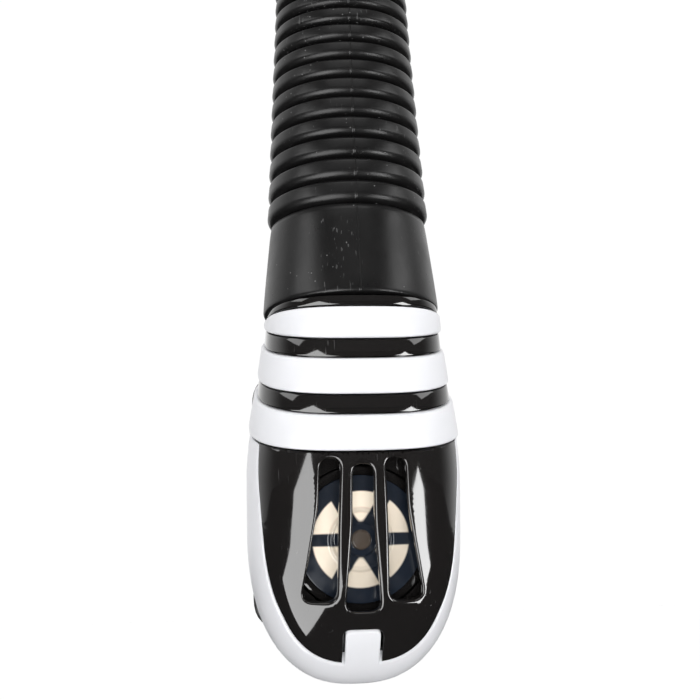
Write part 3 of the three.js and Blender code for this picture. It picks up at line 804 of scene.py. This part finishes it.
def on_hose_axis(s):
    return CHAMBER @ (Vector((0, *hose_point(s))) * MM)


hose = make_object("hose_rubber", hose_shape(), CHAMBER)
clean(hose, 50)
hose.data.materials.append(LOOKS["black_rubber"])
on_hose_axis(CUFF + CORRUGATED - 2)
on_hose_axis(CUFF + 2)
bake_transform(hose)
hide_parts("corrugated_hose")


# --- chamber body
FRONT_TURN = -90.0
NECK_SLOPE = -math.tan(math.radians(LEAN_LOW))
NECK_FRONT_HEIGHT = HOSE_BASE - 0.4 - FRONT * NECK_SLOPE


def body_shape():
    """One closed wall: bowl, shoulder and neck outside, then back down inside."""
    wall_half = 0.02
    degrees = [FRONT_TURN + 3 * (i + 0.5) for i in range(120)]
    for edge in sorted({band[4] + GAP for band in BANDS.values()}):
        for side in (-1, 1):
            degrees += [FRONT_TURN + side * (edge + wall_half * way) for way in (-1, 1)]
    degrees = sorted((d - FRONT_TURN + 180) % 360 - 180 for d in degrees)
    turns = [math.radians(d + FRONT_TURN) for d in degrees]

    def sloped(height, slope, inset, band=None):
        row = []
        for away, turn in zip(degrees, turns):
            sunk = band and abs(away) < BANDS[band][4] + GAP
            row.append(sloped_point(turn, height, slope, BAND_DEPTH + GAP if sunk else inset))
        return row

    def level(z, inset, clamp):
        row = [chamber_point(t, z, inset) for t in turns]
        return [(x, max(y, clamp), height) for x, y, height in row]

    def neck(radius, s):
        loop = [(radius * math.cos(t), radius * math.sin(t), s) for t in turns]
        return bend_on_hose(Shape().add(loop, [])).points

    def bowl(lowest):
        rises = [math.pi / 2 * i / 14 for i in range(1, 15)]
        return [-lowest * math.cos(t) ** (2 / BOTTOM_POWER) for t in rises]

    low, slope = COVER_TOP + GAP / 2, LOW_BAND_SLOPE
    rows = [level(z, BODY_INSET, FRONT_WALL) for z in bowl(BOTTOM - BODY_INSET)[:-1] + [0, 7, 14]]
    rows += [sloped(low, slope, BODY_INSET), sloped(low, slope, 0, "lower_band")]
    soft = 0.3
    rounding = [(0, soft), (soft / 4, soft / 4), (soft, 0)]

    def ledge(height, slope, name, side):
        """A groove's wall, then the rounded edge that leads away from it, up or down."""
        edge = [sloped(height + side * away, slope, inset) for away, inset in rounding]
        return [sloped(height, slope, soft, name)] + edge

    for name, (bottom, low_slope, top, high_slope, _) in BANDS.items():
        if name != "lower_band":
            rows += ledge(bottom - GAP, low_slope, name, -1)[::-1]
        rows += ledge(top + GAP, high_slope, name, 1)
    for below, inset in ((0.35, 0), (0.1, 0.1), (0, 0.4)):
        rows += [sloped(NECK_FRONT_HEIGHT - below, NECK_SLOPE, inset)]
    rows += [neck(NECK_OUTER, s) for s in (-0.4, 5, 10, NECK_HEIGHT - 0.8)]
    rows += [neck(NECK_OUTER - 0.8, NECK_HEIGHT), neck(NECK_BORE, NECK_HEIGHT)]
    rows += [neck(NECK_BORE, s) for s in (10, 5, 0, -6.5)]
    inside, wall = BODY_INSET + BODY_WALL, FRONT_WALL + BODY_WALL
    rows += [level(z, inside, wall) for z in [36, 31, 26, 20, 14, 7, 0]]
    rows += [level(z, inside, wall) for z in bowl(BOTTOM - inside)[:-1][::-1]]
    return Shape().closed_stack(rows)


built(
    "chamber_body_fine", body_shape(), CHAMBER, "chamber", "gloss_black", "chamber_body",
    [plain_rod(PORT_OUTER, 10, PORT_END)],
    [plain_rod(PORT_BORE, 5, 60), plain_rod(POCKET, 5, POCKET_END), plain_rod(SEAT + GAP, -40, -2)],
    35,
)


# --- white bands
def band_shape(name):
    """A raised band swept round the front, its corners and its ends rounded."""
    low, low_slope, high, high_slope, reach = BANDS[name]
    corner, end_round, steps = 0.55, 0.5, 4
    turns = [math.pi / 2 * k / steps for k in range(steps + 1)]

    def loop(angle, shrink):
        back = chamber_point(angle, (low + high) / 2)[1] + FRONT
        half_height = (high - low + (high_slope - low_slope) * back) / 2
        points = []
        for top, outer in ((0, 1), (1, 1), (1, 0), (0, 0)):
            round_by = (corner if outer else 0.2) * (1 - 0.5 * shrink / end_round)
            for turn in turns if top == outer else turns[::-1]:
                rise = shrink + round_by * (1 - math.sin(turn))
                rise = min(rise, half_height - 0.05 * round_by * math.sin(turn) - 0.03)
                depth = shrink + round_by * (1 - math.cos(turn))
                depth = depth - BAND_PROUD if outer else BAND_DEPTH - depth
                height = high - rise if top else low + rise
                points.append(sloped_point(angle, height, high_slope if top else low_slope, depth))
        return points

    ends = [
        (reach - math.degrees(end_round * (1 - math.sin(t)) / HALF_WIDTH),
         end_round * (1 - math.cos(t)))
        for t in turns
    ]
    plain = 120
    sweep = [(-away, shrink) for away, shrink in ends[::-1]]
    sweep += [(lerp(-1, 1, i / plain) * (reach - 2), 0.0) for i in range(plain + 1)]
    sweep += ends
    return Shape().closed_stack([loop(math.radians(FRONT_TURN + a), s) for a, s in sweep])


for name in BANDS:
    piece(name + "_fine", band_shape(name), CHAMBER, "chamber", "white_plastic", name)


# --- purge cover
TAB_HALF, TAB_TOP, TAB_ROUND = 3.5, -17.2, 1.2
NOTCH = 0.4
SLOT_SIDE = [(-8.2, 16.2), (-8.6, 7), (-11.9, -11.3), (-5, -11.3), (-4.8, 3), (-4.3, 16.2)]
SLOT_MIDDLE = [(-2, 15.1), (-2.1, 4), (-3.5, -13.3), (3.5, -13.3), (2.1, 4), (2, 15.1)]
SLOT_ROUND = 2.4


def parting_side(shift, top, steps=60):
    """Right half of the parting line in the front view, from its bottom up to top."""
    bottom = parting_bottom(shift)
    heights = [bottom + (top - bottom) * (i / steps) ** 2 for i in range(steps + 1)]
    return [(parting_x(z, shift), z) for z in heights]


def joint(x):
    """Height of the joint along the cover's top edge."""
    return COVER_TOP - GAP / 2 + LOW_BAND_SLOPE * (front_y(x, COVER_TOP) + FRONT)


def cover_outline():
    corner = parting_side(-GAP, joint(parting_x(COVER_TOP, -GAP)))
    half, top, round_by = TAB_HALF + NOTCH, TAB_TOP + NOTCH, TAB_ROUND + NOTCH
    side = [(x, z) for x, z in corner if x > half + 0.3]
    floor = next(z for x, z in corner if x > half)
    arch = fillet([(0, top), (half, top), (half, floor - 0.02)], round_by, 6, closed=False)
    across = [lerp(side[-1][0], 0, i / 12) for i in range(1, 13)]
    right = arch[1:] + side + [(x, joint(x)) for x in across]
    left = [(-x, z) for x, z in right[:-1][::-1]]
    return resample([arch[0]] + right + left, 0.6)


def cover_front(x, z, drop):
    y = front_y(x, z)
    above = z - LOW_BAND + GAP - LOW_BAND_SLOPE * (y + FRONT)
    sunk = smoothstep(above, -0.02, 0.02) * (BAND_DEPTH + GAP)
    return x, min(y + drop + sunk, parting_y(z, -GAP)), z


def cover_back(x, z):
    y = max(front_y(x, z, COVER_WALL), front_y(x, z) + 0.4)
    return x, min(y, parting_y(z, -GAP)), z


def band_shadow_line():
    """Where the cover steps down under the lowest band."""
    half = parting_x(LOW_BAND) - 0.3
    across = [lerp(-half, half, i / 40) for i in range(41)]
    return [(x, LOW_BAND - GAP + LOW_BAND_SLOPE * (front_y(x, LOW_BAND) + FRONT)) for x in across]


slot_loops = [fillet(SLOT_SIDE, SLOT_ROUND, 8), fillet(SLOT_MIDDLE, SLOT_ROUND, 8)]
slot_loops.append([(-x, z) for x, z in slot_loops[0]])
slot_loops = [resample(loop, 0.4) for loop in slot_loops]
cover_shape = relief(
    cover_outline(), slot_loops, cover_front, cover_back, 0.3, 0.55, 0.55, 5,
    lines=[band_shadow_line()],
)
piece("purge_cover_fine", cover_shape, CHAMBER, "chamber", "gloss_black", "purge_cover", 35)


# --- rear shell
UNROLL = 22.0  # mm of the unrolled plane per radian from the front


def unrolled(point):
    """Place of a surface point in a plane rolled out from the front of the chamber."""
    x, y, z = Vector(point).normalized()
    away, turn = math.acos(-y) * UNROLL, math.atan2(z, x)
    return away * math.cos(turn), away * math.sin(turn)


def rolled(u, v, inset=0.0):
    away, turn = math.hypot(u, v) / UNROLL, math.atan2(v, u)
    flat = math.sin(away)
    direction = Vector((flat * math.cos(turn), -math.cos(away), flat * math.sin(turn)))
    return point_along(direction, inset)


def shell_opening():
    """The line round the shell's open front: top edge, sides, and the latch tab."""
    corner = LOW_BAND
    for _ in range(6):
        corner = LOW_BAND - GAP + LOW_BAND_SLOPE * (parting_y(corner) + FRONT)
    corner_turn = math.atan2(parting_y(corner), parting_x(corner))
    sweep = math.pi - 2 * corner_turn
    turns = [corner_turn + sweep * i / 90 for i in range(91)]
    top = [sloped_point(turn, LOW_BAND - GAP, LOW_BAND_SLOPE) for turn in turns]
    side = [(x, z) for x, z in parting_side(0.0, top[0][2]) if x > TAB_HALF + 0.5]
    floor = next(z for x, z in side)
    arch = fillet([(0, TAB_TOP), (TAB_HALF, TAB_TOP), (TAB_HALF, floor - 0.1)], TAB_ROUND, 6,
                  closed=False)
    tab = [(x, front_y(x, z), z) for x, z in resample(arch, 0.5, closed=False)]
    right = tab + [(x, parting_y(z), z) for x, z in side[:-1]]
    left = [(-x, y, z) for x, y, z in right[1:][::-1]]
    return right + top + left


opening = [unrolled(point) for point in shell_opening()]
shell_shape = relief(
    [unrolled((x, -front_y(x, z), z)) for x, z in circle(PORT_OUTER + GAP)],
    [resample(opening, 0.6)],
    rolled, lambda u, v: rolled(u, v, SKIN), 0.4, 0.45, 1.1, 4,
)
piece("rear_shell_fine", shell_shape, CHAMBER, "chamber", "white_plastic", "rear_shell")


# --- purge valve
def petal(turn):
    """One of the six windows between two spokes, a rounded sector."""
    half = math.pi / 6
    inner, outer = (half - math.asin(SPOKE / 2 / r) for r in (HUB, PETAL))
    points = [(HUB, -inner), (PETAL, -outer)]
    points += [(PETAL, lerp(-outer, outer, i / 10)) for i in range(1, 11)] + [(HUB, inner)]
    outline = [(r * math.cos(t + turn), r * math.sin(t + turn)) for r, t in points]
    return resample(fillet(outline, 0.35, 2), 0.5)


petals = [petal(math.pi / 3 * (i + 0.5)) for i in range(6)]
seat_shape = relief(
    circle(SEAT), petals, lambda x, z, drop: (x, FRONT_WALL + drop, z),
    lambda x, z: (x, FRONT_WALL + BODY_WALL, z), 0.3, 0.3, 0.9, 3,
)
stem_hole = revolve([(0, -20), (1.4, -20), (1.4, 0), (0, 0)], 32, "Y")
built("valve_seat_fine", seat_shape, CHAMBER, "chamber", "gloss_black", "purge_valve_seat",
      cuts=[stem_hole], sharp=40)

back = FRONT_WALL - GAP
flap_line = [
    (DISC, 0), (DISC, 0.75), (6.4, 0.7), (RIDGE, 1.15), (5.2, 0.7), (3.4, 0.75), (3.1, 1.1),
    (STEM_BUTTON, 1.1), (1.75, 1.6), (0, 1.6),
]
flap_line = fillet([(r, back - ahead) for r, ahead in flap_line], 0.25, 4, closed=False)
flap_line = [(0, back + 2.9), (1, back + 2.6), (1, back)] + flap_line
piece("valve_flap", revolve(flap_line, 128, "Y"), CHAMBER, "purge_flap", "smoke_silicone",
      "purge_valve_disc", 50)


# --- swivel and mouthpiece
PASSAGE, SPIGOT = 9.8, 12.5
built(
    "spigot_fine", rod(SPIGOT, 12.5, PORT_END + 1, "Y"), CHAMBER, "mouthpiece", "matte_black",
    "mouthpiece_spigot",
    [rod(PORT_OUTER + 0.5, PORT_END + GAP, PORT_END + 2.6, "Y", 0.5),
     oval_loft([(10.2, 13.2, PORT_END + 2), (10.2, 13.2, 38.7), (9.9, 12.9, 39)]),
     oval_loft([(10.2, 13.2, 36.5), (11, 14, 37), (11, 14, 38.1), (10.2, 13.2, 38.5)])],
    [ring(11.2, 20, 20, 22.4, "Y"), ring(11.3, 20, 13.6, 15.4, "Y", 0.1),
     rod(PASSAGE, -5, 27, "Y"), oval_loft([(8.2, 9.8, 25), (8.2, 11.2, 45)])],
)
cord = [(11.95 + r, 21.2 + h) for r, h in circle(0.55, 16)]
piece("seal_fine", revolve(cord, 96, "Y"), CHAMBER, "mouthpiece", "black_silicone", "swivel_seal")
built("snap_ring_fine", ring(11.6, 14.3, 13.9, 15.1, "Y", 0.2), CHAMBER, "mouthpiece",
      "matte_black", "swivel_snap_ring", cuts=[box_shape(-1.5, 1.5, 8, 20, 0.5, 20)])

LIP_Y, LIP_HALF_WIDTH, LIP_HALF_HEIGHT, LIP_CORNER, LIP_THICK = 46.0, 19.0, 31.0, 6.0, 2.4
bites = []
for side in (-1, 1):
    bites += [slab(7.4, 3.6, 1.6, LIP_Y + 1, LIP_Y + 15, 0.8, side * 17.4),
              slab(9, 4.4, 1.6, LIP_Y + 13, LIP_Y + 16, 1.1, side * 17.6)]
built(
    "mouthpiece_fine",
    oval_loft([(12.6, 15.6, 31.4), (13, 16, 31.8), (13, 16, 40.6), (12.2, 15.5, 42.4),
               (11.6, 15.2, 44), (12.1, 16, 45.6), (13, 17, LIP_Y + 0.6)]),
    CHAMBER, "mouthpiece", "black_silicone", "mouthpiece",
    [slab(LIP_HALF_WIDTH, LIP_HALF_HEIGHT, LIP_CORNER, LIP_Y, LIP_Y + LIP_THICK, 0.9, 0, 5),
     oval_loft([(9.4, 12.4, LIP_Y + 1), (9, 12.1, LIP_Y + 6.4), (8.4, 11.5, LIP_Y + 7)])] + bites,
    [oval_loft([(10.5, 13.5, 20), (10.5, 13.5, 36.5), (11.3, 14.3, 36.7), (11.3, 14.3, 38.6),
                (10.5, 13.5, 38.8), (10.5, 13.5, 39.3)]),
     oval_loft([(7.6, 10.6, 39), (6.6, 9.6, 60)])],
)
built(
    "tie_fine",
    oval_loft([(14.2, 17.2, 33), (14.4, 17.4, 33.2), (14.4, 17.4, 35.8), (14.2, 17.2, 36)]),
    CHAMBER, "mouthpiece", "matte_black", "mouthpiece_tie",
    [box_shape(13.6, 17.2, 32, 37, -2.5, 2.5, 0.5)],
    [oval_loft([(13.3, 16.3, 20), (13.3, 16.3, 40)])],
)

# --- rigid tube and clip
RING_LOW = 5.0
tube_line = [(TUBE_BORE, 0), (TUBE_OUTER, 0), (TUBE_OUTER, TUBE_LENGTH), (TUBE_BORE, TUBE_LENGTH)]
tube_shape = revolve(resample(fillet(tube_line, 0.8, 5), 12), 128)
piece("tube_fine", tube_shape, TUBE, "upper", "matte_black", "upper_tube")
ring_line = [(0, 0), (1, 0), (1.8, 1), (1.8, 3.1), (1.4, 3.5), (1.8, 3.9), (1.8, 6), (1, 7), (0, 7)]
ring_line = [(CUFF_RADIUS + GAP + out, RING_LOW + up) for out, up in ring_line]
piece("hose_ring_fine", revolve(fillet(ring_line, 0.5, 3), 128), TUBE, "upper", "white_plastic",
      "hose_ring")

CLIP_HEIGHT, COLLAR, PAD, PIN_HOLE = 150.0, 16.0, 29.4, 2.8
CLIP = TUBE @ Matrix.Translation((0, 0, CLIP_HEIGHT * MM))
grooves = [ring(COLLAR - 0.35, COLLAR + 1, z - 0.45, z + 0.45, edge=0.2) for z in (-9.5, 9.5)]
built(
    "collar_fine", rod(COLLAR, -12, 12, edge=0.6, sides=128), CLIP, "clip_collar", "matte_black",
    "clip_collar", [box_shape(-8, 8, 12, 19.2, -9, 9, 0.6)],
    [rod(TUBE_OUTER + GAP, -20, 20, sides=128), rod(PIN_HOLE, 0, 30, "Y"),
     rod(4.6, 0, 15.4, "Y")] + grooves,
)
built("pin_fine", rod(2.5, 14, 21, "Y", 0.1, 48), CLIP, "clip_collar", "matte_black",
      "swivel_pin", [rod(4.2, 13.8, 15, "Y", 0.25, 64), rod(4.2, 20.6, 21.3, "Y", 0.2, 64)],
      [box_shape(-2.6, 2.6, 21.05, 22, -0.4, 0.4, 0.05)])

BACK, FACE, BRIDGE, HALF_HEIGHT = 19.6, 21.4, 1.8, 20.0
posts = [box_shape(-10, 10, BACK + 0.4, PAD, side * 15 - 1.7, side * 15 + 1.7, 0.3)
         for side in (-1, 1)]
ridges = [box_shape(-8.5, 8.5, PAD - BRIDGE - 0.3, PAD - BRIDGE + 0.4, z - 0.5, z + 0.5, 0.2)
          for z in (-9, -6, -3, 0, 3, 6, 9)]
built(
    "buckle_fine", slab(17, HALF_HEIGHT, 4, BACK, FACE, 0.5), CLIP, "strap_clip", "matte_black",
    "strap_buckle", posts + [slab(10, 16.7, 2, PAD - BRIDGE, PAD, 0.4)] + ridges,
    [rod(PIN_HOLE, 10, FACE + 1, "Y"), rod(4.5, FACE - 1.1, FACE + 1, "Y", 0.05),
     box_shape(-5, 5, 10, FACE + 0.1, -40, -15.4, 0.3)],
)
grips = [box_shape(-3.4, 3.4, 22.6, 24, z - 0.3, z + 0.3, 0.15) for z in (-22.9, -21.6, -20.3)]
built("button_fine", slab(4.6, 2.6, 1, 18.6, 23, 0.5, -21.6), CLIP, "release_button",
      "white_plastic", "release_button",
      [box_shape(-3.2, 3.2, BACK + GAP, FACE - GAP, -21, -17.4, 0.2)], grips)

# --- dry top
CAGE, CAGE_OUTER, CAGE_BORE, FLOAT = -29.0, 13.4, 11.6, 9.6
DECK = TUBE_LENGTH + 4
cage_place = TUBE @ Matrix.Translation((0, CAGE * MM, 0))


def stadium(radius, y=CAGE, steps=32):
    """Outline round the tube and the float cage, as (x, y) points."""
    line = []
    for centre, start in ((0.0, 0.0), (y, math.pi)):
        turns = [start + math.pi * i / steps for i in range(steps + 1)]
        line += [(radius * math.cos(t), centre + radius * math.sin(t)) for t in turns]
    return resample(line, 3)


def stadium_stack(levels):
    return Shape().closed_stack([[(x, y, z) for x, y in stadium(r)] for r, z in levels])


def at_cage(shape):
    return shape.moved(Matrix.Translation((0, CAGE, 0)))


vents = []
for degrees in (0, 60, 120, 240, 300):
    slot = slab(2.6, 15, 2.4, -20, -6, 0.3, TUBE_LENGTH - 11, 3)
    vents.append(at_cage(slot.moved(Matrix.Rotation(math.radians(degrees), 4, "Z"))))
high = TUBE_OUTER + 3
built(
    "dry_top_fine", rod(TUBE_OUTER + 2.6, TUBE_LENGTH - 24, DECK - 1, edge=0.8, sides=128), TUBE,
    "upper", "gloss_black", "dry_top_base",
    [at_cage(rod(CAGE_OUTER, TUBE_LENGTH - 32, DECK - 1, edge=1.2, sides=128)),
     stadium_stack([(high - 0.4, DECK - 3), (high, DECK - 2.6), (high, DECK - 0.4),
                    (high - 0.4, DECK)]),
     box_shape(-1.4, 1.4, CAGE + 12, -14, TUBE_LENGTH - 24, DECK - 1, 0.4)],
    [rod(TUBE_OUTER + GAP, TUBE_LENGTH - 40, TUBE_LENGTH + GAP, edge=0.1, sides=128),
     rod(TUBE_BORE, TUBE_LENGTH - 40, DECK + 20),
     at_cage(rod(CAGE_BORE, TUBE_LENGTH - 30, DECK - 5, edge=0.6)),
     at_cage(rod(9.3, DECK - 6, DECK + 1, edge=0.05)),
     at_cage(rod(4, TUBE_LENGTH - 40, DECK - 5))] + vents,
)
seat_low = DECK - 4.6
seat_line = [(6.2, seat_low), (7.4, seat_low - 0.8), (8.6, seat_low), (9, seat_low + 1),
             (9, DECK - 0.4), (6.2, DECK - 0.4)]
piece("port_seat_fine", revolve(fillet(seat_line, 0.4, 3)), cage_place, "upper",
      "black_silicone", "port_seat")
float_top = seat_low - 0.8 - 7 - 0.6
float_line = [
    (0, 18), (FLOAT - 2, 18), (FLOAT, 16), (FLOAT, 10.5), (FLOAT - 0.3, 10), (FLOAT, 9.5),
    (FLOAT, 3), (FLOAT - 1, 1.9), (0, 1.9),
]
float_line = fillet([(r, float_top - down) for r, down in float_line], 0.8, 4, closed=False)
piece("float_fine", revolve(float_line), cage_place, "float", "white_plastic", "float")
piece("float_seal_fine", rod(FLOAT - 1, float_top - 1.6, float_top, edge=0.4), cage_place, "float",
      "black_silicone", "float_seal")

dome = [(1, 0), (1, 7), (0.985, 9.5), (0.93, 12), (0.84, 14.4), (0.72, 16.2), (0.56, 17.5),
        (0.4, 18.2), (0.2, 18.4)]
cap_low = DECK + GAP
dome_shape = [(high * scale, cap_low + max(0.3, rise)) for scale, rise in dome]
hollow = [((TUBE_OUTER + 1) * scale, cap_low + (rise - 2 if rise else -1)) for scale, rise in dome]
built(
    "splash_cap_fine", stadium_stack([(high - 0.3, cap_low)] + dome_shape), TUBE, "upper",
    "white_plastic", "splash_cap", cuts=[stadium_stack(hollow)], sharp=30,
)


# --- camera, light and floor
CAMERA_DISTANCE, LENS, SENSOR = 247.0, 61.7, 36.0
CAMERA_TURN = math.radians(-6.4)
CAMERA_HEIGHT = 36.75
CAMERA_SIDE = -0.21
CAMERA_ROLL = math.radians(-0.45)

camera = linked("camera", bpy.data.cameras.new("camera"))
camera.data.lens, camera.data.sensor_width = LENS, SENSOR
camera.data.clip_start, camera.data.clip_end = 0.01, 10
look = Matrix.Rotation(CAMERA_TURN, 4, "Z") @ Matrix.Rotation(math.pi / 2, 4, "X")
aim = Matrix.Translation((CAMERA_SIDE, 0, CAMERA_HEIGHT)) @ look
aim = aim @ Matrix.Translation((0, 0, CAMERA_DISTANCE)) @ Matrix.Rotation(CAMERA_ROLL, 4, "Z")
aim.translation *= MM
camera.matrix_world = CHAMBER @ aim
bpy.context.scene.camera = camera


def softbox(name, place, target, size, power, diffuse=True, glossy=True):
    """A soft rectangular lamp at a place in the chamber's frame, facing a target."""
    data = bpy.data.lights.new(name, "AREA")
    data.shape = "RECTANGLE"
    data.size, data.size_y = (side * MM for side in size)
    data.energy = power
    lamp = linked(name, data)
    place, target = Vector(place) * MM, Vector(target) * MM
    turn = (target - place).to_track_quat("-Z", "Z").to_matrix().to_4x4()
    lamp.matrix_world = CHAMBER @ Matrix.Translation(place) @ turn
    lamp.visible_diffuse, lamp.visible_glossy = diffuse, glossy


softbox("side_left", (-520, -190, 330), (0, 0, 40), (240, 380), 0.95)
softbox("side_right", (520, -190, 330), (0, 0, 40), (240, 380), 0.95)
softbox("over", (0, -230, 600), (0, 0, 20), (480, 300), 0.8)
softbox("fill", (0, -500, 100), (0, 0, 0), (400, 400), 2.05, glossy=False)
softbox("patch_left", (-258, -369, -182), (0, 0, 0), (450, 330), 3.3, diffuse=False)
softbox("patch_right", (308, -328, -103), (0, 0, 5), (190, 140), 1.2, diffuse=False)
bpy.context.scene.view_settings.view_transform = "Standard"


def sky():
    """Pale to the eye; for the light itself bright behind the object, dim in front."""
    world = bpy.data.worlds.new("studio")
    world.use_nodes = True
    nodes, links = world.node_tree.nodes, world.node_tree.links
    backdrop = nodes["Background"]
    backdrop.inputs["Color"].default_value = (1, 1, 1, 1)
    backdrop.inputs["Strength"].default_value = 1.02
    lit = nodes.new("ShaderNodeBackground")
    lit.inputs["Color"].default_value = (1, 1, 1, 1)
    split = nodes.new("ShaderNodeSeparateXYZ")
    links.new(nodes.new("ShaderNodeTexCoord").outputs["Generated"], split.inputs["Vector"])
    ramp = nodes.new("ShaderNodeMapRange")
    ramp.interpolation_type = "SMOOTHSTEP"
    for key, value in (("From Min", -0.25), ("From Max", 0.6), ("To Min", 0.06), ("To Max", 1.0)):
        ramp.inputs[key].default_value = value
    links.new(split.outputs["Y"], ramp.inputs["Value"])
    links.new(ramp.outputs["Result"], lit.inputs["Strength"])
    choose = nodes.new("ShaderNodeMixShader")
    links.new(nodes.new("ShaderNodeLightPath").outputs["Is Camera Ray"], choose.inputs["Fac"])
    links.new(lit.outputs["Background"], choose.inputs[1])
    links.new(backdrop.outputs["Background"], choose.inputs[2])
    links.new(choose.outputs["Shader"], nodes["World Output"].inputs["Surface"])
    bpy.context.scene.world = world


sky()

FLOOR_BELOW, FLOOR_HALF, FLOOR_GLOW = 0.45, 4000, 0.6
floor_height = CAD_BOX[0].z - FLOOR_BELOW
floor = make_object("floor", Shape().add(
    [(x * FLOOR_HALF, y * FLOOR_HALF, 0) for x, y in ((-1, -1), (1, -1), (1, 1), (-1, 1))],
    [(0, 1, 2, 3)],
), Matrix.Translation((0, 0, floor_height)))
pale = Look("floor_paint").set(Roughness=0.9, Specular_IOR_Level=0.1)
seen = pale.nodes.new("ShaderNodeLightPath").outputs["Is Camera Ray"]
unlit = pale.nodes.new("ShaderNodeLightPath").outputs["Is Glossy Ray"]
tone = pale.mix(pale.noise(3, 2), (0.93, 0.93, 0.93), (0.95, 0.95, 0.95))
pale.feed("Base Color", pale.mix(unlit, tone, (0.03, 0.03, 0.03)))
pale.set(Emission_Color=(1, 1, 1, 1)).feed("Emission Strength", pale.times(seen, FLOOR_GLOW))
floor.data.materials.append(pale.material)
